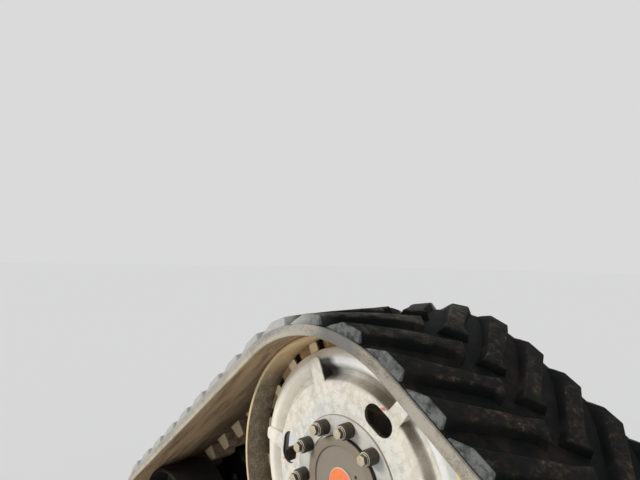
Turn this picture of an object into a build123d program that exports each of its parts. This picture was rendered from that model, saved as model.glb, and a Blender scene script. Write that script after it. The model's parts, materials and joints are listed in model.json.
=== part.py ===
from build123d import *
import math
import os

# Rubber track undercarriage unit of a combine harvester, right-hand side.
#
# The frame has its origin in the centre of the final drive's mounting face, on the drive axle.
# X points forward, Y points inboard to the machine and Z points up.  All lengths are millimetres.
# Lengths called "from the belt centre" are along Y, positive inboard.

os.makedirs("parts", exist_ok=True)

# Belt and wheels
FACE_TO_EDGE = 49.0         # mounting face out to the belt's inboard edge
BELT_WIDTH = 800.0
BELT_THICK = 36.0           # carcass, without tread or drive lugs
SEAT = 0.3                  # gap between the belt and the wheels that carry it
DRIVE_RADIUS = 486.0        # belt's inner face over the drive wheel
IDLER_RADIUS = 240.0        # belt's inner face over the two idlers
ROLLER_RADIUS = 135.0       # belt's inner face at the mid rollers
IDLER_DROP = 543.0          # drive axle down to the idler axles
FRONT_REACH = 1154.0        # drive axle forward to the front idler axle
REAR_REACH = 1100.0         # drive axle back to the rear idler axle
ROLLER_PAIRS = 3

# Tread and drive lugs
DRIVE_TEETH = 20            # drive bars round the wheel, one belt pitch apart
TREAD_HEIGHT = 32.0
TREAD_SHIFT = -14.0         # lug's outer end ahead of the drive lug's middle
TREAD_SKEW = 165.0          # how far the lug's inner end leads its outer end
TREAD_INSET = 9.0           # belt's edge in to the lug's foot
TREAD_CHAMFER = 21.0        # belt's edge in to the lug's crest
TREAD_MIDDLE = 38.0         # middle of the lug's inner end to the belt's centre plane
TREAD_SLANT = 1.18          # how fast the inner end draws back from the centre plane, per length along the belt
TREAD_TOE = 3.0             # lug's height where it meets the belt's edge
# share of the way in, share of the skew, foot behind and ahead of the crest's middle, half length of the crest
TREAD_SHAPE = (
    (0.0, 0.0, 98.0, 46.0, 32.0),
    (0.23, 0.21, 62.0, 42.0, 31.0),
    (0.70, 0.65, 40.0, 40.0, 28.0),
    (1.0, 1.0, 38.0, 38.0, 27.0),
)
BELT_CHAMFER = 5.0          # on the two inner edges of the carcass
TOOTH_HEIGHT = 68.0
TOOTH_FOOT = 86.0
TOOTH_TOP = 54.0
TOOTH_WIDTH = 150.0
TOOTH_TOP_WIDTH = 122.0
ROOT = 6.0                  # how deep a lug's foot is moulded into the carcass

# Drive wheel
HUB_SETBACK = 43.0          # outer ring's edge in to the wheel's bolt face
RING_SETBACK = 107.0        # belt's edge to the outer edge of the ring under it
RING_WIDTH = 109.0
RING_BEVEL = 6.0
RING_WALL = 15.7
BAR_SEAT = 0.5
BAR_ROUND = 9.0
BAR_TANGENT = 44.0
BAR_RADIAL = 50.0
DISC_WALL = 12.0
DISC_BEND = 6.0             # inner radius of every bend in the disc
SEAM = 0.2                  # gap at a welded seam
DISC_BORE = 120.0
PLATE_RADIUS = 327.0        # where the flat middle of the disc ends
VALLEY_IN = 341.0           # floor of the ring-shaped valley, its two edges
VALLEY_OUT = 356.0
VALLEY_DEPTH = 46.0         # below the bolt face
CREST_IN = 381.0            # crest between the valley and the wheel's edge
CREST_OUT = 402.0
CREST_DEPTH = 16.0
DISC_EDGE = 432.0
EDGE_DEPTH = 38.0
LIP_DEPTH = 58.0            # where the disc's lip meets the bars
EAR_COUNT = 6
EAR_ANGLE = 52.0
EAR_ROOT = 58.0             # width of an ear where it leaves the flat middle
EAR_TIP = 46.0
EAR_RADIUS = 408.0
EAR_ROUND = 14.0
EAR_OVERLAP = 30.0          # how far an ear runs in over the flat middle
HAND_HOLE_ANGLES = (59.2, 172.5, 293.0)
HAND_HOLE_RADIUS = 273.0
HAND_HOLE_LENGTH = 115.0
HAND_HOLE_WIDTH = 74.0

# Hub
CLAMP_RADIUS = 212.0
CLAMP_BORE = 158.0
CLAMP_THICK = 6.0
COVER_RADIUS = 149.5
COVER_PROUD = 10.0
COVER_RIM = 30.0
COVER_RECESS = 6.0
COVER_BEVEL = 3.5
BADGE_RADIUS = 52.0
BADGE_THICK = 5.0
BADGE_BEVEL = 2.0
PLUG_RADIUS = 9.0
PLUG_CIRCLE = 83.0          # cover's centre to the filler plug
PLUG_ANGLE = 12.0
PLUG_PROUD = 2.0
PLUG_DEPTH = 6.0
HUB_THICK = 34.0
HUB_SOCKET = 60.0           # radius of the output shaft
HUB_WALL = 45.0
HUB_BEVEL = 8.0
HUB_RUN = 5.0               # running gap to the gear housing
SOCKET_SKIN = 8.0
BOLT_COUNT = 10
BOLT_ANGLE = 8.9
BOLT_CIRCLE = 181.0
BOLT_RADIUS = 10.0
BOLT_FLATS = 30.0
BOLT_HEAD = 13.0
SLEEVE_RADIUS = 25.0
SLEEVE_LENGTH = 38.0
SLEEVE_BEVEL = 3.0
WASHER_RADIUS = 21.0
WASHER_THICK = 4.0
WASHER_STEP = 3.0           # outer washer's edge inside the inner one's
HOLE_PLAY = 0.5

# Final drive
GEARBOX_RADIUS = 205.0
GEARBOX_SETBACK = 81.0      # wheel's bolt face in to the housing's front
GEARBOX_TAIL = 184.0        # housing's back to the saddle
NOSE_RADIUS = 160.0
NOSE_LENGTH = 50.0
SHOULDER = 60.0             # length of the two slopes behind the gears
FIN_COUNT = 8
FIN_THICK = 16.0
FIN_HEIGHT = 9.0
FIN_LENGTH = 140.0
TRUMPET_RADIUS = 125.0
JOURNAL_RADIUS = 150.0
JOURNAL_PLAY = 0.3
JOURNAL_REACH = 13.0        # how far the journal stands out of the saddle on either side
NECK_STEP = 12.0            # journal down to the neck behind it
FLANGE_THICK = 28.0
FLANGE_BEVEL = 6.0
FLANGE_BOLTS = 12
FLANGE_CIRCLE = 400.0       # pitch circle diameter
FLANGE_MARGIN = 30.0        # pitch circle to the flange's rim
FLANGE_HOLE = 11.0
INPUT_RECESS = 80.0
INPUT_DEPTH = 60.0
INPUT_SHAFT = 27.5
INPUT_SETBACK = 6.0         # mounting face to the shaft's end
SPLINES = 12
SPLINE_WIDTH = 5.0
SPLINE_DEPTH = 3.5
SPLINE_LENGTH = 36.0

# Track frame
SADDLE_GAP = 30.0           # inner ring's edge in to the saddle
SADDLE_THICK = 60.0
SADDLE_EYE = 222.0
SADDLE_NECK = 15.0          # degrees below level where the saddle's flanks leave the eye
SADDLE_TOE = 20.0           # saddle's foot past the cross members, fore and aft
SADDLE_SOLE = 12.0          # and below them
SADDLE_HEEL = 40.0          # and above them
SADDLE_RIM = 70.0
SADDLE_RIB = 36.0
SADDLE_POCKET = 26.0
BOSS_RADIUS = 190.0
BOSS_THICK = 12.0
BEAM_WIDTH = 140.0
BEAM_HEIGHT = 179.0
BEAM_CLEAR = 20.0           # drive lugs up to the beam
BEAM_ROUND = 22.0
BEAM_FRONT = 340.0          # front idler axle back to the beam's front end
TAIL_REACH = 60.0           # beam's tail behind the rear idler axle
TAIL_RISE = 66.0
TAIL_DROP = 80.0
TAIL_FLAT = 90.0
TAIL_SLOPE = 240.0
TONGUE_WIDTH = 96.0         # yoke's tongue in the beam's front end
TONGUE_HEIGHT = 120.0
TONGUE_LIFT = 3.5           # tongue's middle above the beam's
TONGUE_HELD = 60.0          # length of the tongue inside the beam
SLIDE_PLAY = 0.3
YOKE_EYE = 88.0
YOKE_EYE_HALF = 70.0
HEAD_HALF = 64.0
HEAD_BACK = 210.0           # front idler axle back to the rear of the yoke's head
HEAD_STEP = 8.0             # head's rear end past the tongue, above and below
CROSS_SIZE = 120.0
CROSS_ROUND = 14.0
CROSS_LIFT = 10.0           # cross members' middle above the beam's
SWING = 10.0                # degrees that the frame tilts either way
STOP_GAP = 6.0              # left between lug and stop when the frame is tilted as far as it goes
STOP_THICK = 24.0
STOP_RADIUS = 195.0
STOP_HALF = 24.0
STOP_DEPTH = 40.0
STOP_ROUND = 6.0
LUG_SINK = 15.0             # how deep the housing's lug is rooted under the journal

# Belt tensioner
TENSION_LIFT = 52.0         # cylinder's axis above the beam
TENSION_FRONT = 270.0       # front idler axle back to the front pin
TENSION_SPAN = 460.0        # between the two pins
PIN_RADIUS = 14.0
PIN_HEAD = 19.0
PIN_END = 7.0
EYE_RADIUS = 26.0
EYE_WIDTH = 30.0
EYE_PLAY = 1.5
EYE_NECK = 44.0             # pin to the round of the barrel or the rod
LUG_THICK = 14.0
LUG_FOOT = 90.0
BARREL_RADIUS = 38.0
BARREL_LENGTH = 240.0
COLLAR_RADIUS = 43.0
COLLAR_LENGTH = 20.0
PISTON_RADIUS = 20.0
PISTON_HELD = 120.0         # length of the rod inside the barrel

# Idlers and rollers
IDLER_GAP = 88.0            # half of the space between a pair of wheels
IDLER_SETBACK = 93.0        # belt's edge in to the outer edge of an idler or roller
IDLER_RIM = 16.0
ROLLER_RIM = 12.0
RIM_BEVEL = 4.0
WEB_PLACE = 110.0           # inner edge of a wheel to its web
WEB_THICK = 12.0
WEB_LEAN = 6.0              # dish of the web
WEB_HOLES = 6
WEB_HOLE = 27.0
WEB_CIRCLE = 162.0          # radius of the circle of web holes
BARREL_WALL = 34.0
BARREL_REACH = 14.0         # how far a wheel's barrel stands out towards the frame
AXLE_RADIUS = 38.0
ROLLER_AXLE = 30.0
BEARING_PLAY = 0.3
CAP_SETBACK = 30.0          # wheel's outer edge in to the grease cap's seat
CAP_GAP = 2.0
CAP_EDGE = 26.0
CAP_RISE = 22.0
CAP_BEVEL = 10.0

BELT_Y = -FACE_TO_EDGE - BELT_WIDTH / 2
FLANGE_RADIUS = FLANGE_CIRCLE / 2 + FLANGE_MARGIN
RING_EDGE = BELT_WIDTH / 2 - RING_SETBACK
HUB_PLANE = HUB_SETBACK - RING_EDGE
HUB_Y = BELT_Y + HUB_PLANE
SADDLE_OUT = RING_EDGE + SADDLE_GAP
SADDLE_IN = SADDLE_OUT + SADDLE_THICK
GEARBOX_FRONT = HUB_PLANE + GEARBOX_SETBACK
GEARBOX_BACK = SADDLE_OUT - GEARBOX_TAIL
IDLER_FACE = BELT_WIDTH / 2 - IDLER_SETBACK - IDLER_GAP
INNER_Z = -IDLER_DROP - IDLER_RADIUS
ROLLER_Z = INNER_Z + ROLLER_RADIUS
BEAM_BOTTOM = INNER_Z + TOOTH_HEIGHT + BEAM_CLEAR
BEAM_TOP = BEAM_BOTTOM + BEAM_HEIGHT


# Helpers
def plate(face, y_out, y_in):
    """Prism of an X-Z face between two Y planes."""
    return extrude(Plane(origin=(0, y_in, 0), x_dir=(1, 0, 0), z_dir=(0, -1, 0)) * face, y_in - y_out)


def turned(points, x=0.0, z=0.0):
    """Solid turned about a cross axis at (x, z) from points of (radius, y)."""
    return Pos(x, 0, z) * revolve(make_face(Polyline(*points, close=True)), Axis.Y)


def ring(r_out, r_in, y_out, y_in, x=0.0, z=0.0):
    """Plain tube about a cross axis."""
    return turned([(r_in, y_out), (r_out, y_out), (r_out, y_in), (r_in, y_in)], x, z)


def rod(radius, y_out, y_in, x=0.0, z=0.0):
    """Plain round bar along Y."""
    return Pos(x, (y_out + y_in) / 2, z) * Rot(90, 0, 0) * Cylinder(radius, y_in - y_out)


def polar(radius, degrees):
    """Point in the X-Z plane, angle from +X up to +Z."""
    a = math.radians(degrees)
    return (radius * math.cos(a), radius * math.sin(a))


def around(count, start, shape, x=0.0, z=0.0):
    """Copies of a shape spaced evenly about a cross axis at (x, z)."""
    return [Pos(x, 0, z) * Rot(0, -(start + 360.0 * i / count), 0) * shape for i in range(count)]


def across(radius, x, z):
    """Drill of the part's whole width along a cross axis at (x, z)."""
    return rod(radius, BELT_Y - BELT_WIDTH / 2, BELT_Y + BELT_WIDTH / 2, x, z)


def save(name, shape):
    """Write one sub-part."""
    solids = shape if isinstance(shape, list) else [shape]
    flat = [s for item in solids for s in item.solids()]
    export_step(flat[0] if len(flat) == 1 else Compound(children=flat), "parts/" + name + ".step")


# Belt path
# wheels that shape the belt, in the belt's own direction of travel: x, z, radius
WHEELS = (
    (0.0, 0.0, DRIVE_RADIUS),
    (FRONT_REACH, -IDLER_DROP, IDLER_RADIUS),
    (-REAR_REACH, -IDLER_DROP, IDLER_RADIUS),
)


def run_angle(a, b):
    """Angle of the outward normal on the straight run from wheel a to wheel b."""
    dx, dz = b[0] - a[0], b[1] - a[1]
    return math.atan2(dz, dx) + math.acos((a[2] - b[2]) / math.hypot(dx, dz))


def belt_legs():
    """Arcs and runs of the belt's inner face, each with its length."""
    legs = []
    for i, wheel in enumerate(WHEELS):
        before, after = WHEELS[i - 1], WHEELS[(i + 1) % 3]
        enter, leave = run_angle(before, wheel), run_angle(wheel, after)
        while enter < leave:
            enter += 2 * math.pi
        while enter - leave > 2 * math.pi:
            enter -= 2 * math.pi
        legs.append(("arc", wheel, enter, leave, (enter - leave) * wheel[2]))
        span = math.hypot(after[0] - wheel[0], after[1] - wheel[1])
        legs.append(("run", wheel, leave, leave, math.sqrt(span ** 2 - (wheel[2] - after[2]) ** 2)))
    return legs


LEGS = belt_legs()
BELT_LENGTH = sum(leg[4] for leg in LEGS)
PITCH_COUNT = round(BELT_LENGTH * DRIVE_TEETH / (2 * math.pi * DRIVE_RADIUS))
PITCH = BELT_LENGTH / PITCH_COUNT
BAR_STEP = 360.0 / DRIVE_TEETH
WRAP_MIDDLE = math.degrees(LEGS[0][2] + LEGS[0][3]) / 2


def belt_point(along, height):
    """Point (x, z) at a distance along the inner face and a height outside it."""
    along %= BELT_LENGTH
    for kind, wheel, enter, leave, length in LEGS:
        if along <= length:
            break
        along -= length
    turn = enter - along / wheel[2] if kind == "arc" else enter
    x = wheel[0] + (wheel[2] + height) * math.cos(turn)
    z = wheel[1] + (wheel[2] + height) * math.sin(turn)
    if kind == "run":
        x += along * math.sin(turn)
        z -= along * math.cos(turn)
    return x, z


def belt_outline(height):
    """Face inside the belt loop at a height outside the inner face."""
    starts, middles = [], []
    at = 0.0
    for leg in LEGS:
        starts.append(belt_point(at, height))
        middles.append(belt_point(at + leg[4] / 2, height))
        at += leg[4]
    edges = []
    for leg, start, middle, end in zip(LEGS, starts, middles, starts[1:] + starts[:1]):
        edges.append(ThreePointArc(start, middle, end) if leg[0] == "arc" else Line(start, end))
    return make_face(edges)


def section(y, slant, low, high, along, back, ahead, crest_back, crest_ahead):
    """Four corners of a lug's cross-section at y, which grows by the slant along the foot."""
    corners = ((-back, low), (ahead, low), (crest_ahead, high), (-crest_back, high))
    points = [Vector(x, 0, z) for x, z in (belt_point(along + s, h) for s, h in corners)]
    foot = points[1] - points[0]
    middle, run = points[0] + foot * 0.5, foot.normalized()
    return Wire.make_polygon([p + Vector(0, y + slant * (p - middle).dot(run), 0) for p in points])


def tread_lug(along, side):
    """Chevron lug on one half of the belt, broad at the belt's edge; side is -1 outboard and 1 inboard."""
    low, high, toe = BELT_THICK - ROOT, BELT_THICK + TREAD_HEIGHT, BELT_THICK + TREAD_TOE
    rise = (toe - low) / (high - low)
    back, ahead, crest = TREAD_SHAPE[0][2:]
    y = BELT_Y + side * (BELT_WIDTH / 2 - TREAD_INSET)
    toe_back, toe_ahead = back + (crest - back) * rise, ahead + (crest - ahead) * rise
    wires = [section(y, 0, low, toe, along, back, ahead, toe_back, toe_ahead)]
    shoulder = BELT_WIDTH / 2 - TREAD_CHAMFER
    for share, skew, back, ahead, crest in TREAD_SHAPE:
        y = BELT_Y + side * (shoulder + (TREAD_MIDDLE - shoulder) * share)
        slant = side * TREAD_SLANT if share == 1.0 else 0.0
        wires.append(section(y, slant, low, high, along + TREAD_SKEW * skew, back, ahead, crest, crest))
    return Solid.make_loft(wires, ruled=True)


def drive_tooth(along):
    """Drive lug on the inner face, its two sides drawn in towards the top."""
    half, top = TOOTH_WIDTH / 2, TOOTH_TOP_WIDTH / 2
    corners = []
    for s, h, w in ((TOOTH_FOOT / 2, ROOT, half), (TOOTH_TOP / 2, -TOOTH_HEIGHT, top)):
        layer = [(along - s, -w), (along + s, -w), (along + s, w), (along - s, w)]
        corners.append([Vector(belt_point(a, h)[0], BELT_Y + y, belt_point(a, h)[1]) for a, y in layer])
    return Solid.make_loft([Wire.make_polygon(c) for c in corners], ruled=True)


def rubber_belt():
    """Endless belt with its tread lugs and drive lugs in one moulding."""
    inner = belt_outline(0.0)
    outer = belt_outline(BELT_THICK)
    carcass = plate(outer - inner, BELT_Y - BELT_WIDTH / 2, BELT_Y + BELT_WIDTH / 2)
    inner_edges = [edge for side in carcass.faces().filter_by(Axis.Y) for edge in side.inner_wires()[0].edges()]
    carcass = chamfer(inner_edges, BELT_CHAMFER)
    start = LEGS[0][4] / 2
    lugs = []
    for i in range(PITCH_COUNT):
        along = start + i * PITCH
        lugs.append(drive_tooth(along))
        lugs.append(tread_lug(along + TREAD_SHIFT, -1))
        lugs.append(tread_lug(along + TREAD_SHIFT + PITCH / 2, 1))
    return carcass.fuse(*lugs)


# Drive wheel
RING_RADIUS = DRIVE_RADIUS - SEAT
RING_BORE = RING_RADIUS - RING_WALL


def wheel_ring(side):
    """Rolled ring under one half of the belt, its two edges bevelled."""
    near, far = BELT_Y + side * (RING_EDGE - RING_WIDTH), BELT_Y + side * RING_EDGE
    bevel = side * RING_BEVEL
    points = [
        (RING_BORE, near),
        (RING_RADIUS - RING_BEVEL, near),
        (RING_RADIUS, near + bevel),
        (RING_RADIUS, far - bevel),
        (RING_RADIUS - RING_BEVEL, far),
        (RING_BORE, far),
    ]
    return turned(points)


def drive_bars():
    """Bars across the wheel that push the belt's drive lugs."""
    reach = -HUB_PLANE - LIP_DEPTH
    bar = Pos(RING_BORE - BAR_SEAT - BAR_RADIAL / 2, BELT_Y, 0) * Box(BAR_RADIAL, 2 * reach, BAR_TANGENT)
    bar = fillet(bar.edges().filter_by(Axis.Y), BAR_ROUND)
    return around(DRIVE_TEETH, WRAP_MIDDLE + BAR_STEP / 2, bar)


# front of the disc's sheet: radius, depth inboard of the bolt face
DISC_PATH = (
    (DISC_BORE, CLAMP_THICK),
    (PLATE_RADIUS, CLAMP_THICK),
    (VALLEY_IN, VALLEY_DEPTH),
    (VALLEY_OUT, VALLEY_DEPTH),
    (CREST_IN, CREST_DEPTH),
    (CREST_OUT, CREST_DEPTH),
    (DISC_EDGE, EDGE_DEPTH),
    (DISC_EDGE, LIP_DEPTH - SEAM),
)


def sheet_back(path, wall):
    """Corners of a bent sheet's back, its wall's thickness behind the front."""
    steps = [Vector(b[0] - a[0], b[1] - a[1]).normalized() for a, b in zip(path, path[1:])]
    steps = [steps[0]] + steps + [steps[-1]]
    back = []
    for (r, y), before, after in zip(path, steps, steps[1:]):
        lean = wall / (1 + before.X * after.X + before.Y * after.Y)
        back.append((r - lean * (before.Y + after.Y), y + lean * (before.X + after.X)))
    return back


def sheet_face(path, wall, bend):
    """Section of a sheet with every bend rounded, the inner side by the bend radius."""
    back = sheet_back(path, wall)
    face = make_face(Polyline(*path, *back[::-1], close=True))
    for i in range(1, len(path) - 1):
        (x0, y0), (x1, y1), (x2, y2) = path[i - 1:i + 2]
        hollow_front = (x1 - x0) * (y2 - y1) < (y1 - y0) * (x2 - x1)
        inside, outside = (path[i], back[i]) if hollow_front else (back[i], path[i])
        for corner, radius in ((inside, bend), (outside, bend + wall)):
            face = fillet(face.vertices().sort_by_distance((*corner, 0))[0], radius)
    return face


def disc_ear():
    """Flat ear in the plane of the disc's middle that bridges the valley, narrower at its tip."""
    root, wide, narrow = PLATE_RADIUS - EAR_OVERLAP, EAR_ROOT / 2, EAR_TIP / 2
    outline = [(root, -wide), (EAR_RADIUS, -narrow), (EAR_RADIUS, narrow), (root, wide)]
    face = make_face(Polyline(*outline, close=True))
    face = fillet(face.vertices().sort_by(Axis.X)[-2:], EAR_ROUND)
    block = plate(face, HUB_Y + CLAMP_THICK, HUB_Y + LIP_DEPTH)
    middle = [(r, HUB_Y + y + DISC_WALL / 2) for r, y in DISC_PATH[:-1]]
    return block & turned([(DISC_BORE, HUB_Y), (DISC_EDGE, HUB_Y)] + middle[::-1])


def wheel_disc():
    """Dished disc with ears across its valley, hand holes and bolt holes."""
    sheet = sheet_face([(r, HUB_Y + y) for r, y in DISC_PATH], DISC_WALL, DISC_BEND)
    disc = revolve(sheet, Axis.Y).fuse(*around(EAR_COUNT, EAR_ANGLE, disc_ear()))
    y_out, y_in = HUB_Y - LIP_DEPTH, HUB_Y + LIP_DEPTH
    slot = SlotOverall(HAND_HOLE_LENGTH, HAND_HOLE_WIDTH, rotation=90)
    slot = plate(Pos(HAND_HOLE_RADIUS, 0) * slot, y_out, y_in)
    cuts = [Rot(0, -angle, 0) * slot for angle in HAND_HOLE_ANGLES]
    return disc.cut(*cuts, *bolt_holes(y_out, y_in))


# Hub
def bolt_holes(y_out, y_in):
    """Drills for the wheel bolts between two planes."""
    drill = rod(BOLT_RADIUS + HOLE_PLAY, y_out, y_in, BOLT_CIRCLE, 0)
    return around(BOLT_COUNT, BOLT_ANGLE, drill)


def clamp_ring():
    """Ring that spreads the wheel bolts' load on the disc."""
    body = ring(CLAMP_RADIUS, CLAMP_BORE, HUB_Y, HUB_Y + CLAMP_THICK)
    return body.cut(*bolt_holes(HUB_Y - CLAMP_THICK, HUB_Y + 2 * CLAMP_THICK))


HUB_FRONT = HUB_Y + CLAMP_THICK + DISC_WALL
HUB_BACK = BELT_Y + GEARBOX_FRONT - HUB_RUN
SOCKET_END = HUB_FRONT + SOCKET_SKIN


def wheel_hub():
    """Output hub: flange behind the disc, spigot through it and a socket for the shaft."""
    spigot, barrel = DISC_BORE - HOLE_PLAY, HUB_SOCKET + HUB_WALL
    points = [
        (0, HUB_Y + CLAMP_THICK),
        (spigot, HUB_Y + CLAMP_THICK),
        (spigot, HUB_FRONT),
        (CLAMP_RADIUS, HUB_FRONT),
        (CLAMP_RADIUS, HUB_FRONT + HUB_THICK - HUB_BEVEL),
        (CLAMP_RADIUS - HUB_BEVEL, HUB_FRONT + HUB_THICK),
        (barrel + HUB_BEVEL, HUB_FRONT + HUB_THICK),
        (barrel, HUB_BACK),
        (HUB_SOCKET + BEARING_PLAY, HUB_BACK),
        (HUB_SOCKET + BEARING_PLAY, SOCKET_END),
        (0, SOCKET_END),
    ]
    return turned(points).cut(*bolt_holes(HUB_Y, HUB_BACK))


COVER_FACE = HUB_Y - COVER_PROUD


def hub_cover():
    """Round cover with a sunk middle, a seat for the badge and a filler hole."""
    floor = COVER_RADIUS - COVER_RIM
    points = [
        (0, COVER_FACE + COVER_RECESS),
        (floor - COVER_BEVEL, COVER_FACE + COVER_RECESS),
        (floor, COVER_FACE),
        (COVER_RADIUS - COVER_BEVEL, COVER_FACE),
        (COVER_RADIUS, COVER_FACE + COVER_BEVEL),
        (COVER_RADIUS, HUB_Y + CLAMP_THICK),
        (0, HUB_Y + CLAMP_THICK),
    ]
    body = turned(points)
    return body - plug_at(PLUG_RADIUS + HOLE_PLAY, COVER_FACE, COVER_FACE + COVER_RECESS + PLUG_DEPTH)


def plug_at(radius, y_out, y_in):
    """Round bar at the filler hole's place on the cover."""
    x, z = polar(PLUG_CIRCLE, PLUG_ANGLE)
    return rod(radius, y_out, y_in, x, z)


def hub_badge():
    """Blank round badge in the middle of the cover."""
    face = COVER_FACE + COVER_RECESS
    front = face - BADGE_THICK
    rim = [(BADGE_RADIUS - BADGE_BEVEL, front), (BADGE_RADIUS, front + BADGE_BEVEL), (BADGE_RADIUS, face)]
    return turned([(0, front), *rim, (0, face)])


def hub_plug():
    """Filler plug with a hexagon socket."""
    face = COVER_FACE + COVER_RECESS
    body = plug_at(PLUG_RADIUS, face - PLUG_PROUD, face + PLUG_DEPTH)
    socket = Pos(*polar(PLUG_CIRCLE, PLUG_ANGLE)) * RegularPolygon(PLUG_RADIUS / 2, 6)
    return body - plate(socket, face - 2 * PLUG_PROUD, face + PLUG_DEPTH / 2)


SLEEVE_END = HUB_Y - SLEEVE_LENGTH
WASHER_END = SLEEVE_END - 2 * WASHER_THICK


def bolt_sleeves():
    """Spacer sleeves between the clamp ring and the bolt heads."""
    points = [
        (BOLT_RADIUS + HOLE_PLAY, HUB_Y),
        (SLEEVE_RADIUS, HUB_Y),
        (SLEEVE_RADIUS, SLEEVE_END + SLEEVE_BEVEL),
        (SLEEVE_RADIUS - SLEEVE_BEVEL, SLEEVE_END),
        (BOLT_RADIUS + HOLE_PLAY, SLEEVE_END),
    ]
    return around(BOLT_COUNT, BOLT_ANGLE, turned(points, BOLT_CIRCLE, 0))


def bolt_washers():
    """Two washers under each bolt head, the outer one smaller."""
    steps = [
        (BOLT_RADIUS + HOLE_PLAY, SLEEVE_END),
        (WASHER_RADIUS, SLEEVE_END),
        (WASHER_RADIUS, SLEEVE_END - WASHER_THICK),
        (WASHER_RADIUS - WASHER_STEP, SLEEVE_END - WASHER_THICK),
        (WASHER_RADIUS - WASHER_STEP, WASHER_END),
        (BOLT_RADIUS + HOLE_PLAY, WASHER_END),
    ]
    return around(BOLT_COUNT, BOLT_ANGLE, turned(steps, BOLT_CIRCLE, 0))


def wheel_bolts():
    """Hexagon bolts through washer, sleeve, ring, disc and hub."""
    head = plate(RegularPolygon(BOLT_FLATS / 2, 6, major_radius=False), WASHER_END - BOLT_HEAD, WASHER_END)
    shank = rod(BOLT_RADIUS, WASHER_END, HUB_FRONT + HUB_THICK - HUB_BEVEL)
    return around(BOLT_COUNT, BOLT_ANGLE, Pos(BOLT_CIRCLE, 0, 0) * (head + shank))


# Final drive
def stop_lug():
    """Lug under the journal that meets the stops on the saddle."""
    y_out, y_in = BELT_Y + SADDLE_IN + STOP_GAP, BELT_Y + SADDLE_IN + STOP_THICK
    root, tip = JOURNAL_RADIUS - LUG_SINK, STOP_RADIUS + STOP_DEPTH / 2
    box = Pos((root + tip) / 2, (y_out + y_in) / 2, 0) * Box(tip - root, y_in - y_out, 2 * STOP_HALF)
    return Rot(0, 90, 0) * box


def final_drive_housing():
    """Planetary gear housing, trumpet, pivot journal and mounting flange in one casting."""
    front, back = BELT_Y + GEARBOX_FRONT, BELT_Y + GEARBOX_BACK
    journal_out = BELT_Y + SADDLE_OUT - JOURNAL_REACH
    journal_in = BELT_Y + SADDLE_IN + JOURNAL_REACH
    neck = JOURNAL_RADIUS - NECK_STEP
    points = [
        (0, front),
        (NOSE_RADIUS - FLANGE_BEVEL, front),
        (NOSE_RADIUS, front + FLANGE_BEVEL),
        (NOSE_RADIUS, front + NOSE_LENGTH),
        (GEARBOX_RADIUS, front + NOSE_LENGTH + FLANGE_BEVEL),
        (GEARBOX_RADIUS, back - SHOULDER),
        (NOSE_RADIUS, back),
        (TRUMPET_RADIUS, back + SHOULDER),
        (TRUMPET_RADIUS, journal_out - SHOULDER / 2),
        (JOURNAL_RADIUS, journal_out),
        (JOURNAL_RADIUS, journal_in),
        (neck, journal_in + NECK_STEP),
        (neck, -FLANGE_THICK - FLANGE_BEVEL),
        (FLANGE_RADIUS - FLANGE_BEVEL, -FLANGE_THICK),
        (FLANGE_RADIUS, FLANGE_BEVEL - FLANGE_THICK),
        (FLANGE_RADIUS, 0),
        (INPUT_RECESS, 0),
        (INPUT_RECESS, -INPUT_DEPTH),
        (0, -INPUT_DEPTH),
    ]
    fin = Box(2 * FIN_HEIGHT, FIN_LENGTH, FIN_THICK)
    fin = Pos(GEARBOX_RADIUS, front + NOSE_LENGTH + FLANGE_BEVEL + FIN_LENGTH / 2, 0) * fin
    fins = around(FIN_COUNT, 180.0 / FIN_COUNT, fin)
    drill = rod(FLANGE_HOLE, -2 * FLANGE_THICK, FLANGE_THICK, FLANGE_CIRCLE / 2, 0)
    return turned(points).fuse(*fins, stop_lug()).cut(*around(FLANGE_BOLTS, 0, drill))


def output_shaft():
    """Shaft from the gears into the wheel hub."""
    return rod(HUB_SOCKET, SOCKET_END + SEAM, BELT_Y + GEARBOX_FRONT)


def input_shaft():
    """Splined stub that takes the machine's drive shaft."""
    body = rod(INPUT_SHAFT, -INPUT_DEPTH, -INPUT_SETBACK)
    groove = Box(2 * SPLINE_DEPTH, SPLINE_LENGTH, SPLINE_WIDTH)
    groove = Pos(INPUT_SHAFT, -INPUT_SETBACK - SPLINE_LENGTH / 2, 0) * groove
    return body.cut(*around(SPLINES, 0, groove))


def saddle_stops():
    """Two stop blocks on the saddle, one for each way of tilting."""
    y = BELT_Y + SADDLE_IN + STOP_THICK / 2
    block = Pos(STOP_RADIUS, y, 0) * Box(STOP_DEPTH, STOP_THICK, 2 * STOP_HALF)
    block = fillet(block.edges().filter_by(Axis.Y), STOP_ROUND)
    gap = math.degrees((STOP_GAP + 2 * STOP_HALF) / (STOP_RADIUS - STOP_DEPTH / 2))
    return [Rot(0, 90 + side * (SWING + gap), 0) * block for side in (-1, 1)]


# Track frame
ROLLER_STEP = (FRONT_REACH + REAR_REACH) / (ROLLER_PAIRS + 1)
ROLLER_X = [-REAR_REACH + ROLLER_STEP * (i + 1) for i in range(ROLLER_PAIRS)]
CROSS_X = [(a + b) / 2 for a, b in zip(ROLLER_X, ROLLER_X[1:])]
BEAM_MIDDLE = (BEAM_TOP + BEAM_BOTTOM) / 2
CROSS_Z = BEAM_MIDDLE + CROSS_LIFT
TONGUE_Z = BEAM_MIDDLE + TONGUE_LIFT
BEAM_END = FRONT_REACH - BEAM_FRONT
TENSION_Z = BEAM_TOP + TENSION_LIFT
PIN_X = FRONT_REACH - TENSION_FRONT
REAR_PIN_X = PIN_X - TENSION_SPAN


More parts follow.
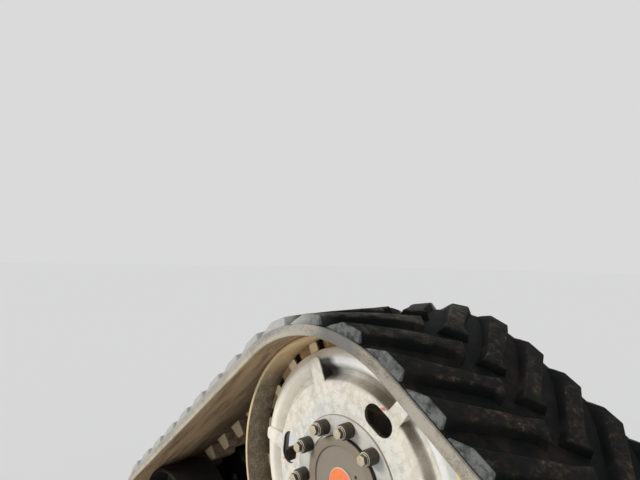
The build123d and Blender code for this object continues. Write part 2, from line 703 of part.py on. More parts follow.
def pin_bracket(x, foot_z):
    """Two upright lugs that hold a tensioner pin at x above a foot."""
    outline = [
        (x - LUG_FOOT / 2, foot_z),
        (x + LUG_FOOT / 2, foot_z),
        (x + EYE_RADIUS, TENSION_Z),
        (x - EYE_RADIUS, TENSION_Z),
    ]
    face = make_face(Polyline(*outline, close=True)) + Pos(x, TENSION_Z) * Circle(EYE_RADIUS)
    face = face - Pos(x, TENSION_Z) * Circle(PIN_RADIUS + BEARING_PLAY)
    near = EYE_WIDTH / 2 + EYE_PLAY
    return [plate(face, BELT_Y + y, BELT_Y + y + LUG_THICK) for y in (-near - LUG_THICK, near)]


def frame_beam():
    """Box beam between the wheel pairs, from the rear axle to the sliding yoke."""
    rear = -REAR_REACH
    outline = [
        (rear - TAIL_REACH, TAIL_RISE - IDLER_DROP),
        (rear + TAIL_FLAT, TAIL_RISE - IDLER_DROP),
        (rear + TAIL_FLAT + TAIL_SLOPE, BEAM_TOP),
        (BEAM_END, BEAM_TOP),
        (BEAM_END, BEAM_BOTTOM),
        (rear + TAIL_FLAT + TAIL_SLOPE, BEAM_BOTTOM),
        (rear + TAIL_FLAT, -TAIL_DROP - IDLER_DROP),
        (rear - TAIL_REACH, -TAIL_DROP - IDLER_DROP),
    ]
    half = BEAM_WIDTH / 2
    beam = plate(make_face(Polyline(*outline, close=True)), BELT_Y - half, BELT_Y + half)
    beam = fillet(beam.edges().filter_by(Axis.Y), BEAM_ROUND)
    slot = Box(2 * (TONGUE_HELD + SLIDE_PLAY), TONGUE_WIDTH + 2 * SLIDE_PLAY, TONGUE_HEIGHT + 2 * SLIDE_PLAY)
    beam = beam - Pos(BEAM_END, BELT_Y, TONGUE_Z) * slot
    bores = [across(AXLE_RADIUS + BEARING_PLAY, rear, -IDLER_DROP)]
    bores += [across(ROLLER_AXLE + BEARING_PLAY, x, ROLLER_Z) for x in ROLLER_X]
    return beam.cut(*bores).fuse(*pin_bracket(REAR_PIN_X, BEAM_TOP))


def idler_yoke():
    """Yoke that slides in the beam's front end and carries the front idler."""
    top, bottom = TONGUE_Z + TONGUE_HEIGHT / 2, TONGUE_Z - TONGUE_HEIGHT / 2
    back = BEAM_END - TONGUE_HELD
    tongue = Box(FRONT_REACH - back, TONGUE_WIDTH, TONGUE_HEIGHT)
    tongue = Pos((back + FRONT_REACH) / 2, BELT_Y, TONGUE_Z) * tongue
    outline = [
        (FRONT_REACH - HEAD_BACK, bottom - HEAD_STEP),
        (FRONT_REACH, -IDLER_DROP - YOKE_EYE),
        (FRONT_REACH, -IDLER_DROP + YOKE_EYE),
        (FRONT_REACH - HEAD_BACK, top + HEAD_STEP),
    ]
    head = plate(make_face(Polyline(*outline, close=True)), BELT_Y - HEAD_HALF, BELT_Y + HEAD_HALF)
    eye = rod(YOKE_EYE, BELT_Y - YOKE_EYE_HALF, BELT_Y + YOKE_EYE_HALF, FRONT_REACH, -IDLER_DROP)
    yoke = tongue.fuse(head, eye, *pin_bracket(PIN_X, top))
    return yoke - across(AXLE_RADIUS + BEARING_PLAY, FRONT_REACH, -IDLER_DROP)


def frame_saddle():
    """Upright saddle beside the belt's inner wheels, with the eye that turns on the journal."""
    reach = CROSS_SIZE / 2 + SADDLE_TOE
    rear, front = CROSS_X[0] - reach, CROSS_X[-1] + reach
    sole, heel = CROSS_Z - CROSS_SIZE / 2 - SADDLE_SOLE, CROSS_Z + CROSS_SIZE / 2 + SADDLE_HEEL
    neck_x, neck_z = polar(SADDLE_EYE, -SADDLE_NECK)
    outline = [(rear, sole), (front, sole), (front, heel), (neck_x, neck_z), (-neck_x, neck_z), (rear, heel)]
    y_out, y_in = BELT_Y + SADDLE_OUT, BELT_Y + SADDLE_IN
    body = plate(make_face(Polyline(*outline, close=True)), y_out, y_in)
    body = body.fuse(rod(SADDLE_EYE, y_out, y_in), rod(BOSS_RADIUS, y_out - BOSS_THICK, y_out))
    low, high = CROSS_Z + CROSS_SIZE / 2, -SADDLE_EYE - SADDLE_POCKET
    for side, edge in ((-1, rear), (1, front)):
        rib, top = side * SADDLE_RIB / 2, side * (SADDLE_EYE - SADDLE_RIM)
        outline = [(rib, low), (edge - side * SADDLE_RIM, low), (top, high), (rib, high)]
        pocket = fillet(make_face(Polyline(*outline, close=True)).vertices(), SADDLE_POCKET / 2)
        body = body - plate(pocket, y_in - SADDLE_POCKET, y_in + SADDLE_POCKET)
    return body - rod(JOURNAL_RADIUS + JOURNAL_PLAY, y_out - 2 * BOSS_THICK, y_in + BOSS_THICK)


def frame_cross_members():
    """Square tubes from the beam, under the wheel, to the saddle."""
    tubes = []
    near, far = BEAM_WIDTH / 2, SADDLE_OUT
    for x in CROSS_X:
        tube = Pos(x, BELT_Y + (near + far) / 2, CROSS_Z) * Box(CROSS_SIZE, far - near, CROSS_SIZE)
        tubes.append(fillet(tube.edges().filter_by(Axis.Y), CROSS_ROUND))
    return tubes


# Belt tensioner
def pin_eye(x, end):
    """Eye on a tensioner pin, with its neck out to where a round bar starts."""
    neck = Pos((x + end) / 2, BELT_Y, TENSION_Z) * Box(abs(end - x), EYE_WIDTH, 2 * PISTON_RADIUS)
    return rod(EYE_RADIUS, BELT_Y - EYE_WIDTH / 2, BELT_Y + EYE_WIDTH / 2, x, TENSION_Z) + neck


def tension_bar(radius, start, end):
    """Round bar on the tensioner's axis."""
    return Pos((start + end) / 2, BELT_Y, TENSION_Z) * Rot(0, 90, 0) * Cylinder(radius, end - start)


BARREL_X = REAR_PIN_X + EYE_NECK
BARREL_END = BARREL_X + BARREL_LENGTH


def tension_cylinder():
    """Barrel of the tensioner with a collar at its mouth and an eye at its foot."""
    collar = tension_bar(COLLAR_RADIUS, BARREL_END - COLLAR_LENGTH, BARREL_END)
    body = tension_bar(BARREL_RADIUS, BARREL_X, BARREL_END).fuse(collar, pin_eye(REAR_PIN_X, BARREL_X))
    floor = BARREL_END - PISTON_HELD - SLIDE_PLAY
    bore = tension_bar(PISTON_RADIUS + SLIDE_PLAY, floor, BARREL_END + COLLAR_LENGTH)
    return body.cut(bore, across(PIN_RADIUS + BEARING_PLAY, REAR_PIN_X, TENSION_Z))


def tension_rod():
    """Rod of the tensioner with the eye that pushes the yoke."""
    tip = PIN_X - EYE_NECK
    body = tension_bar(PISTON_RADIUS, BARREL_END - PISTON_HELD, tip) + pin_eye(PIN_X, tip)
    return body - across(PIN_RADIUS + BEARING_PLAY, PIN_X, TENSION_Z)


def tension_pins():
    """Headed pins through the two brackets and eyes."""
    half = EYE_WIDTH / 2 + EYE_PLAY + LUG_THICK
    pins = []
    for x in (REAR_PIN_X, PIN_X):
        pin = rod(PIN_RADIUS, BELT_Y - half, BELT_Y + half + PIN_END, x, TENSION_Z)
        pins.append(pin + rod(PIN_HEAD, BELT_Y - half - PIN_END, BELT_Y - half, x, TENSION_Z))
    return pins


# Idlers and rollers
def carrier_wheel(side, radius, rim, bore, x, z):
    """One wheel of a pair: tread band, dished web and bearing barrel."""
    seat = radius - SEAT
    barrel = bore + BARREL_WALL
    near, far = IDLER_GAP, IDLER_GAP + IDLER_FACE
    web_in, web_out = near + WEB_PLACE - WEB_THICK / 2, near + WEB_PLACE + WEB_THICK / 2
    points = [
        (bore + BEARING_PLAY, near - BARREL_REACH),
        (barrel, near - BARREL_REACH),
        (barrel, web_in - WEB_LEAN),
        (seat - rim, web_in + WEB_LEAN),
        (seat - rim, near),
        (seat - RIM_BEVEL, near),
        (seat, near + RIM_BEVEL),
        (seat, far - RIM_BEVEL),
        (seat - RIM_BEVEL, far),
        (seat - rim, far),
        (seat - rim, web_out + WEB_LEAN),
        (barrel, web_out - WEB_LEAN),
        (barrel, far - CAP_SETBACK),
        (bore + BEARING_PLAY, far - CAP_SETBACK),
    ]
    return turned([(r, BELT_Y + side * y) for r, y in points], x, z)


def idler_wheels(x):
    """Pair of idler wheels with lightening holes in their webs."""
    wheels = []
    for side in (-1, 1):
        y = BELT_Y + side * (IDLER_GAP + WEB_PLACE)
        drill = rod(WEB_HOLE, y - 2 * WEB_THICK, y + 2 * WEB_THICK, WEB_CIRCLE, 0)
        holes = around(WEB_HOLES, 0, drill, x, -IDLER_DROP)
        wheels.append(carrier_wheel(side, IDLER_RADIUS, IDLER_RIM, AXLE_RADIUS, x, -IDLER_DROP).cut(*holes))
    return wheels


def roller_wheels(x):
    """Pair of mid rollers."""
    return [carrier_wheel(side, ROLLER_RADIUS, ROLLER_RIM, ROLLER_AXLE, x, ROLLER_Z) for side in (-1, 1)]


def axle(radius, x, z):
    """Cross axle of a wheel pair."""
    end = IDLER_GAP + IDLER_FACE - CAP_SETBACK - CAP_GAP
    return rod(radius, BELT_Y - end, BELT_Y + end, x, z)


def axle_caps(radius, x, z):
    """Domed grease caps on both ends of an axle."""
    y, edge = IDLER_GAP + IDLER_FACE - CAP_SETBACK, radius + CAP_EDGE
    points = [(0, y), (edge, y), (edge, y + CAP_BEVEL), (edge - CAP_BEVEL, y + CAP_RISE), (0, y + CAP_RISE)]
    return [turned([(r, BELT_Y + side * v) for r, v in points], x, z) for side in (-1, 1)]


PARTS = {
    "rubber_belt": rubber_belt,
    "drive_wheel_disc": wheel_disc,
    "drive_ring_outboard": lambda: wheel_ring(-1),
    "drive_ring_inboard": lambda: wheel_ring(1),
    "drive_bars": drive_bars,
    "wheel_clamp_ring": clamp_ring,
    "wheel_hub": wheel_hub,
    "hub_cover": hub_cover,
    "hub_badge": hub_badge,
    "hub_plug": hub_plug,
    "bolt_sleeves": bolt_sleeves,
    "bolt_washers": bolt_washers,
    "wheel_bolts": wheel_bolts,
    "final_drive_housing": final_drive_housing,
    "output_shaft": output_shaft,
    "input_shaft": input_shaft,
    "saddle_stops": saddle_stops,
    "frame_saddle": frame_saddle,
    "frame_cross_members": frame_cross_members,
    "frame_beam": frame_beam,
    "idler_yoke": idler_yoke,
    "tension_cylinder": tension_cylinder,
    "tension_rod": tension_rod,
    "tension_pins": tension_pins,
}
for end, x in (("front", FRONT_REACH), ("rear", -REAR_REACH)):
    save(end + "_idler_wheels", idler_wheels(x))
    save(end + "_idler_axle", axle(AXLE_RADIUS, x, -IDLER_DROP))
    save(end + "_idler_caps", axle_caps(AXLE_RADIUS, x, -IDLER_DROP))
for i, x in enumerate(ROLLER_X):
    label = "mid_roller_" + str(i + 1)
    save(label + "_wheels", roller_wheels(x))
    save(label + "_axle", axle(ROLLER_AXLE, x, ROLLER_Z))
    save(label + "_caps", axle_caps(ROLLER_AXLE, x, ROLLER_Z))
for name, make in PARTS.items():
    save(name, make())
    print(name)
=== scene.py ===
"""Looks of the rubber track undercarriage unit: belt, finishes, small fasteners, studio and camera.

Lengths are metres in the row frame: origin in the centre of the final drive's mounting face, X forward,
Y inboard and Z up.  Heights on the belt are counted outwards from its inner face.
"""

import json
import logging
import math
from dataclasses import astuple, dataclass, field
from enum import Enum
from typing import Any, Callable, Iterable, Optional, Sequence, Union

import bmesh
import bpy
from mathutils import Matrix, Vector, noise


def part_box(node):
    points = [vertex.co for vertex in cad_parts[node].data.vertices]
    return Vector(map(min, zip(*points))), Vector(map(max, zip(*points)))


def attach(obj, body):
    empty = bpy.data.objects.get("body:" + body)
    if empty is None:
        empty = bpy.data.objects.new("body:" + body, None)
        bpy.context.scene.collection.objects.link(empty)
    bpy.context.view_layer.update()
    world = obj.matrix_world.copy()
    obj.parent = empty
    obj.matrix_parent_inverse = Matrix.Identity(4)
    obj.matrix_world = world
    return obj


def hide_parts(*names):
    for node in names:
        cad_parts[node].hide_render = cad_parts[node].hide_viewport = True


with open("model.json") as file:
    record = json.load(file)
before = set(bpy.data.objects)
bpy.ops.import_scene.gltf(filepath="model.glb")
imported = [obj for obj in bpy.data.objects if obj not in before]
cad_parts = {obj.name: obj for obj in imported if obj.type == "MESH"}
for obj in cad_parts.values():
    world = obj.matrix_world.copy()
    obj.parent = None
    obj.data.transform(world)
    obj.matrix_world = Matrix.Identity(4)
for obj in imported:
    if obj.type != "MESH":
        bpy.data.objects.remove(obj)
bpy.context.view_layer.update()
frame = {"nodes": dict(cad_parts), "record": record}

log = logging.getLogger("track_unit")
Piece = bpy.types.Object
Material = bpy.types.Material
Socket = bpy.types.NodeSocket
Triple = tuple[float, float, float]
Colour = Triple
Span = tuple[float, float]
Course = Callable[[float, float], Span]
FaceTest = Callable[[Vector, Vector], bool]
Number = Union["Signal", float]

TRACK = "track_unit"
DRIVE = "final_drive"
SQUARE = 0.9  # Part of a normal along an axis above which its face counts as square to it


class Side(Enum):
    """The two sides of the unit, by the sign of their Y."""

    OUTBOARD = -1
    INBOARD = 1

    @property
    def turn(self) -> Triple:
        """Turn that makes a bar's end face this side."""
        return (-self.value * math.pi / 2, 0.0, 0.0)


# Sizes read from the frame


@dataclass(frozen=True)
class Layout:
    """Places of the main pieces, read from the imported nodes."""

    belt_y: float
    belt_half: float
    hub_y: float
    ground_z: float

    @classmethod
    def read(cls) -> "Layout":
        """Read the belt's and the wheel's places from the frame.

        Returns:
            The layout in metres.
        """
        low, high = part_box("rubber_belt")
        ring_low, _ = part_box("wheel_clamp_ring")
        return cls((low.y + high.y) / 2, (high.y - low.y) / 2, ring_low.y, low.z)


@dataclass(frozen=True)
class BeltPath:
    """Course of the belt's inner face round the drive wheel and the two idlers."""

    drive_radius: float = 0.486
    idler_radius: float = 0.240
    idler_drop: float = 0.543
    front_reach: float = 1.154
    rear_reach: float = 1.100
    drive_teeth: int = 20

    def wheels(self) -> tuple[Triple, ...]:
        """List the wheels in the order that the belt meets them.

        Returns:
            For each wheel its centre's x and z, and its radius.
        """
        return (
            (0.0, 0.0, self.drive_radius),
            (self.front_reach, -self.idler_drop, self.idler_radius),
            (-self.rear_reach, -self.idler_drop, self.idler_radius),
        )

    def legs(self) -> list[tuple[str, Triple, float, float]]:
        """List the arcs and straight runs of the inner face.

        Returns:
            For each leg its kind, its wheel, the angle it starts at and its length.
        """
        found = []
        wheels = self.wheels()
        for i, wheel in enumerate(wheels):
            before, after = wheels[i - 1], wheels[(i + 1) % len(wheels)]
            enter, leave = self._normal(before, wheel), self._normal(wheel, after)
            sweep = (enter - leave) % (2 * math.pi)
            found.append(("arc", wheel, enter, sweep * wheel[2]))
            span = math.hypot(after[0] - wheel[0], after[1] - wheel[1])
            found.append(("run", wheel, leave, math.sqrt(span**2 - (wheel[2] - after[2]) ** 2)))
        return found

    @staticmethod
    def _normal(a: Triple, b: Triple) -> float:
        """Angle of the outward normal on the straight run from wheel a to wheel b."""
        dx, dz = b[0] - a[0], b[1] - a[1]
        return math.atan2(dz, dx) + math.acos((a[2] - b[2]) / math.hypot(dx, dz))

    def length(self) -> float:
        """Length of the inner face."""
        return sum(leg[3] for leg in self.legs())

    def pitches(self) -> int:
        """Number of drive lugs on the belt."""
        return round(self.length() * self.drive_teeth / (2 * math.pi * self.drive_radius))

    def wrap(self) -> Course:
        """Map a straight belt to its course.

        Returns:
            A function of the distance along the inner face and the height over it, that gives x and z.
        """
        legs, total = self.legs(), self.length()

        def place(along: float, height: float) -> Span:
            """Find a point on the belt's course.

            Args:
                along: Distance along the inner face, round and round.
                height: Height over it.

            Returns:
                Its x and z.
            """
            rest = along % total
            for kind, wheel, start, size in legs:
                if rest <= size:
                    break
                rest -= size
            turn = start - rest / wheel[2] if kind == "arc" else start
            x = wheel[0] + (wheel[2] + height) * math.cos(turn)
            z = wheel[1] + (wheel[2] + height) * math.sin(turn)
            if kind == "run":
                x += rest * math.sin(turn)
                z -= rest * math.cos(turn)
            return x, z

        return place


# Modelling bench


class Bench:
    """Operators that start, shape and finish a piece."""

    loose_gap: float = 0.00002
    flat_angle: float = 0.6
    corner_angle: float = 28.0
    shade_angle: float = 32.0

    @staticmethod
    def take(*pieces: Piece) -> None:
        """Select these pieces alone, the first of them active.

        Args:
            pieces: One piece or more.
        """
        bpy.ops.object.select_all(action="DESELECT")
        for piece in pieces:
            piece.select_set(True)
        bpy.context.view_layer.objects.active = pieces[0]

    @staticmethod
    def settle(name: str) -> Piece:
        """Name the active piece and put its place, turn and scale into its mesh.

        Args:
            name: Name of the piece.

        Returns:
            The piece.
        """
        piece = bpy.context.active_object
        piece.name = piece.data.name = name
        bpy.ops.object.transform_apply(location=True, rotation=True, scale=True)
        return piece

    @classmethod
    def block(cls, name: str, size: Sequence[float], place: Sequence[float]) -> Piece:
        """Add a box by its full lengths along X, Y and Z and its centre."""
        bpy.ops.mesh.primitive_cube_add(size=1.0, location=place, scale=size)
        return cls.settle(name)

    @classmethod
    def bar(cls, name: str, radius: float, depth: float, place: Triple, side: Side, sides: int) -> Piece:
        """Add a bar along Y that faces one side.

        Args:
            name: Name of the bar.
            radius: Radius over its corners.
            depth: Its length.
            place: Its centre.
            side: Side that its front faces.
            sides: Number of its flats.

        Returns:
            The bar.
        """
        bpy.ops.mesh.primitive_cylinder_add(
            vertices=sides, radius=radius, depth=depth, location=place, rotation=side.turn
        )
        return cls.settle(name)

    @classmethod
    def bevel(cls, piece: Piece, width: float, segments: int = 2, angle: float = 30.0) -> Piece:
        """Round a piece's sharp edges.

        Args:
            piece: The piece.
            width: Width of the rounding.
            segments: Facets across it.
            angle: Edges that turn by more than this many degrees are rounded.

        Returns:
            The piece.
        """
        cls.take(piece)
        rounding = piece.modifiers.new("rounding", "BEVEL")
        rounding.width = width
        rounding.segments = segments
        rounding.limit_method = "ANGLE"
        rounding.angle_limit = math.radians(angle)
        bpy.ops.object.modifier_apply(modifier=rounding.name)
        return piece

    @classmethod
    def smooth(cls, piece: Piece, angle: float = 35.0) -> Piece:
        """Shade a piece smoothly across gentle edges.

        Args:
            piece: The piece.
            angle: Edges that turn by more than this many degrees stay sharp.

        Returns:
            The piece.
        """
        cls.take(piece)
        bpy.ops.object.shade_smooth_by_angle(angle=math.radians(angle))
        return piece

    @staticmethod
    def copy(piece: Piece, name: str) -> Piece:
        """Copy a piece with a mesh of its own.

        Args:
            piece: The piece.
            name: Name of the copy.

        Returns:
            The copy.
        """
        twin = piece.copy()
        twin.data = piece.data.copy()
        twin.name = twin.data.name = name
        bpy.context.scene.collection.objects.link(twin)
        return twin

    @classmethod
    def join(cls, pieces: Sequence[Piece], name: str) -> Piece:
        """Join pieces into the first of them.

        Args:
            pieces: Two pieces or more.
            name: Name of the whole.

        Returns:
            The whole.
        """
        cls.take(*pieces)
        bpy.ops.object.join()
        return cls.settle(name)

    @classmethod
    def pick(cls, piece: Piece, test: FaceTest = lambda centre, normal: True) -> None:
        """Open a piece in edit mode with its faces selected, all of them or those that pass a test.

        Args:
            piece: The piece.
            test: Test of a face's centre and normal.
        """
        cls.take(piece)
        bpy.ops.object.mode_set(mode="EDIT")
        bpy.ops.mesh.select_mode(type="FACE")
        bpy.ops.mesh.select_all(action="DESELECT")
        sheet = bmesh.from_edit_mesh(piece.data)
        for face in sheet.faces:
            face.select_set(test(face.calc_center_median(), face.normal))
        bmesh.update_edit_mesh(piece.data)

    @staticmethod
    def close() -> None:
        """Leave edit mode."""
        bpy.ops.object.mode_set(mode="OBJECT")

    @classmethod
    def outward(cls, piece: Piece, gap: float = 0.0) -> None:
        """Turn all faces of a piece outwards.

        Args:
            piece: The piece.
            gap: Corners that are closer than this are merged first.
        """
        cls.pick(piece)
        if gap:
            bpy.ops.mesh.remove_doubles(threshold=gap)
        bpy.ops.mesh.normals_make_consistent(inside=False)
        cls.close()

    @classmethod
    def softened(cls, node: str, width: float) -> Piece:
        """Copy a CAD node, merge its loose triangles, round its edges and shade it smoothly.

        Args:
            node: The node that the copy stands for.
            width: Width of the rounding.

        Returns:
            The copy.
        """
        piece = cls.copy(frame["nodes"][node], node + "_finished")
        for key in list(piece.keys()):
            del piece[key]
        piece.parent = None
        cls.pick(piece)
        bpy.ops.mesh.remove_doubles(threshold=cls.loose_gap)
        bpy.ops.mesh.customdata_custom_splitnormals_clear()
        bpy.ops.mesh.dissolve_limited(angle_limit=math.radians(cls.flat_angle))
        cls.close()
        return cls.smooth(cls.bevel(piece, width, angle=cls.corner_angle), cls.shade_angle)


def mount(piece: Piece, body: str, slot: str, finish: Material, *nodes: str) -> None:
    """Dress a finished piece and put it on its body.

    Args:
        piece: The piece, at the origin.
        body: Body that it rides on.
        slot: Material slot of the record; not used.
        finish: Its material.
        nodes: CAD nodes that it stands for.
    """
    piece.data.materials.clear()
    piece.data.materials.append(finish)
    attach(piece, body)
    if nodes:
        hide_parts(*nodes)
    log.info("%s rides on %s, %d faces", piece.name, body, len(piece.data.polygons))


# Shader sheets


class Signal:
    """A number on a shader socket that takes part in sums as a plain number does."""

    def __init__(self, board: "Board", socket: Socket) -> None:
        """Wrap a socket of a board."""
        self.board = board
        self.socket = socket

    def _math(self, operation: str, *values: Number) -> "Signal":
        """Add a Math node on these values."""
        node = self.board.node("ShaderNodeMath", {"operation": operation}, dict(enumerate(values)))
        return Signal(self.board, node.outputs[0])

    def __add__(self, other: Number) -> "Signal":
        """Sum."""
        return self._math("ADD", self, other)

    __radd__ = __add__

    def __sub__(self, other: Number) -> "Signal":
        """Difference."""
        return self._math("SUBTRACT", self, other)

    def __rsub__(self, other: Number) -> "Signal":
        """Difference from a number."""
        return self._math("SUBTRACT", other, self)

    def __mul__(self, other: Number) -> "Signal":
        """Product."""
        return self._math("MULTIPLY", self, other)

    __rmul__ = __mul__

    def __truediv__(self, other: Number) -> "Signal":
        """Quotient."""
        return self._math("DIVIDE", self, other)

    def __pow__(self, other: Number) -> "Signal":
        """Power."""
        return self._math("POWER", self, other)

    def __abs__(self) -> "Signal":
        """Size without sign."""
        return self._math("ABSOLUTE", self)

    def __rtruediv__(self, other: Number) -> "Signal":
        """Quotient of a number and this."""
        return self._math("DIVIDE", other, self)

    def __mod__(self, period: Number) -> "Signal":
        """Rest that is never negative."""
        return self._math("FLOORED_MODULO", self, period)

    def angle(self, across: Number) -> "Signal":
        """Angle in degrees, with this as its height and the other as its width."""
        return self._math("ARCTAN2", self, across) * math.degrees(1.0)

    def least(self, other: Number) -> "Signal":
        """Lower of two values."""
        return self._math("MINIMUM", self, other)

    def most(self, other: Number) -> "Signal":
        """Higher of two values."""
        return self._math("MAXIMUM", self, other)

    def rise(self, low: float, high: float) -> "Signal":
        """Make a smooth step, which falls if low is above high.

        Args:
            low: Value at which the step is 0.
            high: Value at which the step is 1.

        Returns:
            The step.
        """
        node = self.board.node(
            "ShaderNodeMapRange",
            {"interpolation_type": "SMOOTHSTEP", "clamp": True},
            {"Value": self, "From Min": min(low, high), "From Max": max(low, high)},
        )
        step = Signal(self.board, node.outputs["Result"])
        return 1.0 - step if low > high else step

    def band(self, low: float, high: float, soft: float) -> "Signal":
        """One between two values, with soft borders."""
        return self.rise(low - soft, low + soft) * self.rise(high + soft, high - soft)


class Board:
    """Node tree of a material or of the surroundings."""

    def __init__(self, tree: bpy.types.NodeTree) -> None:
        """Take the tree that nodes are added to."""
        self.tree = tree

    def node(
        self, kind: str, settings: Optional[dict[str, Any]] = None, inputs: Optional[dict[Any, Any]] = None
    ) -> bpy.types.Node:
        """Add a node.

        Args:
            kind: Its type.
            settings: Properties that are set first.
            inputs: Values or links of its sockets, by name or number.

        Returns:
            The node.
        """
        made = self.tree.nodes.new(kind)
        for key, value in (settings or {}).items():
            setattr(made, key, value)
        for key, value in (inputs or {}).items():
            self.feed(made.inputs[key], value)
        return made

    def feed(self, socket: Socket, value: Any) -> None:
        """Link or set an input.

        Args:
            socket: The input.
            value: Signal or socket that is linked to it, or number or colour that it is set to.
        """
        if isinstance(value, Signal):
            value = value.socket
        if isinstance(value, Socket):
            self.tree.links.new(value, socket)
        elif socket.type == "RGBA" and len(value) == 3:
            socket.default_value = (*value, 1.0)
        else:
            socket.default_value = value


class Sheet(Board):
    """Board of one material, with its surface shader, place and facing in the object's own axes."""

    def __init__(self, name: str) -> None:
        """Open a new material.

        Args:
            name: Its name.
        """
        self.material = bpy.data.materials.new(name)
        self.material.use_nodes = True
        super().__init__(self.material.node_tree)
        self.surface = self.tree.nodes["Principled BSDF"]
        coordinates = self.node("ShaderNodeTexCoord").outputs
        self.place = coordinates["Object"]
        self.x, self.y, self.z = self._axes(self.place)
        _, self.face_y, self.face_z = self._axes(coordinates["Normal"])

    def _axes(self, source: Socket) -> list[Signal]:
        """Split a vector into its three numbers."""
        parts = self.node("ShaderNodeSeparateXYZ", inputs={0: source})
        return [Signal(self, out) for out in parts.outputs]

    def distance(self, x: float = 0.0, z: float = 0.0, weights: Span = (1.0, 1.0)) -> Signal:
        """Distance from a point in the wheels' plane, with a weight on either direction."""
        along, up = self.x - x, self.z - z
        return (along * along * weights[0] + up * up * weights[1]) ** 0.5

    def attribute(self, name: str) -> Signal:
        """Read a number that is stored on the mesh."""
        made = self.node("ShaderNodeAttribute", {"attribute_name": name})
        return Signal(self, made.outputs["Fac"])

    def vector(self, x: Number, y: Number, z: Number) -> Socket:
        """Make a vector of three numbers."""
        return self.node("ShaderNodeCombineXYZ", inputs={0: x, 1: y, 2: z}).outputs[0]

    def noise(self, scale: float, detail: float, roughness: float, at: Optional[Socket] = None) -> Signal:
        """Cloudy noise from 0 to 1 on the piece's place or on another vector."""
        inputs = {"Vector": at or self.place, "Scale": scale, "Detail": detail, "Roughness": roughness}
        return Signal(self, self.node("ShaderNodeTexNoise", {"noise_dimensions": "3D"}, inputs).outputs[0])

    def cells(self, scale: float, at: Optional[Socket] = None) -> Signal:
        """Distance to the nearest of many scattered points."""
        inputs = {"Vector": at or self.place, "Scale": scale}
        return Signal(self, self.node("ShaderNodeTexVoronoi", {"feature": "F1"}, inputs).outputs["Distance"])

    def blend(self, base: Any, top: Any, factor: Number) -> Socket:
        """Lay one colour over another.

        Args:
            base: Colour below, as three numbers or a socket.
            top: Colour above.
            factor: How much of the upper colour shows.

        Returns:
            The mixed colour's socket.
        """
        made = self.node("ShaderNodeMix", {"data_type": "RGBA", "clamp_factor": True})
        colours = [s for s in made.inputs if s.type == "RGBA"]
        self.feed(made.inputs[0], factor)
        self.feed(colours[0], base)
        self.feed(colours[1], top)
        return [s for s in made.outputs if s.type == "RGBA"][0]

    def relief(self, height: Signal, depth: float) -> None:
        """Bump on the surface from a height signal and its depth in metres."""
        bump = self.node("ShaderNodeBump", inputs={"Height": height, "Distance": depth, "Strength": 1.0})
        self.feed(self.surface.inputs["Normal"], bump.outputs["Normal"])

    def close(self, colour: Any, rough: Number, metallic: Number = 0.0, specular: float = 0.5) -> Material:
        """Feed the surface shader and hand over the material.

        Args:
            colour: Base colour.
            rough: Roughness.
            metallic: Share of bare metal.
            specular: Level of the mirror part.

        Returns:
            The material.
        """
        self.surface.inputs["Specular IOR Level"].default_value = specular
        self.feed(self.surface.inputs["Base Color"], colour)
        self.feed(self.surface.inputs["Roughness"], rough)
        self.feed(self.surface.inputs["Metallic"], metallic)
        return self.material


# Finishes

FIELD_DUST: Colour = (0.34, 0.25, 0.155)
PALE_DUST: Colour = (0.46, 0.40, 0.32)


@dataclass(frozen=True)
class WornFinish:
    """Paint, casting or steel with blotches, dust on what faces up, and fine grain."""

    name: str
    colour: Colour
    shade: Colour
    blotch_scale: float = 7.0
    blotch: float = 0.5
    dust: Colour = FIELD_DUST
    dust_up: float = 0.6
    dust_all: float = 0.15
    roughness: float = 0.5
    metallic: float = 0.0
    grain: float = 0.0004
    grain_scale: float = 220.0
    speckle: float = 0.0

    def build(self) -> Material:
        """Build the finish.

        Returns:
            The material.
        """
        sheet = Sheet(self.name)
        clouds = sheet.noise(self.blotch_scale, 5.0, 0.65)
        fine = sheet.noise(self.grain_scale, 3.0, 0.6)
        patchy = sheet.noise(self.blotch_scale * 3.0, 6.0, 0.7)
        paint = sheet.blend(self.colour, self.shade, clouds.rise(0.42, 0.62) * self.blotch)
        settled = sheet.face_z.rise(0.1, 0.9) * self.dust_up * patchy.rise(0.25, 0.6)
        cover = (settled + patchy.rise(0.45, 0.75) * self.dust_all).least(1.0)
        dusty = sheet.blend(paint, self.dust, cover)
        if self.speckle:
            spots = sheet.cells(90.0).rise(0.16, 0.08) * patchy.rise(0.4, 0.6) * self.speckle
            dusty = sheet.blend(dusty, self.shade, spots)
        sheet.relief(fine + patchy * 0.6, self.grain)
        rough = self.roughness + (0.92 - self.roughness) * cover
        return sheet.close(dusty, rough, self.metallic * (1.0 - cover) if self.metallic else 0.0)


class BeltSheet(Sheet):
    """Sheet of the belt, with its place on the straight belt and the noises that its patterns share."""

    def __init__(self, name: str) -> None:
        """Read the stored place and lay out the noises.

        Args:
            name: Name of the material.
        """
        super().__init__(name)
        self.height, self.across, self.along = (self.attribute(n) for n in ("height", "across", "along"))
        self.off = abs(self.across)
        self.clouds = self.noise(8.0, 6.0, 0.7)
        self.wear = self.noise(30.0, 6.0, 0.72)
        self.fine = self.noise(230.0, 4.0, 0.7)
        drawn_at = self.vector(self.along * 1.3, self.across * 10.0, self.height * 9.0)
        smear_at = self.vector(self.along * 6.0, self.across * 2.0, self.height * 6.0)
        self.drawn = self.noise(3.0, 6.0, 0.64, drawn_at)
        self.smear = self.noise(5.0, 6.0, 0.7, smear_at)


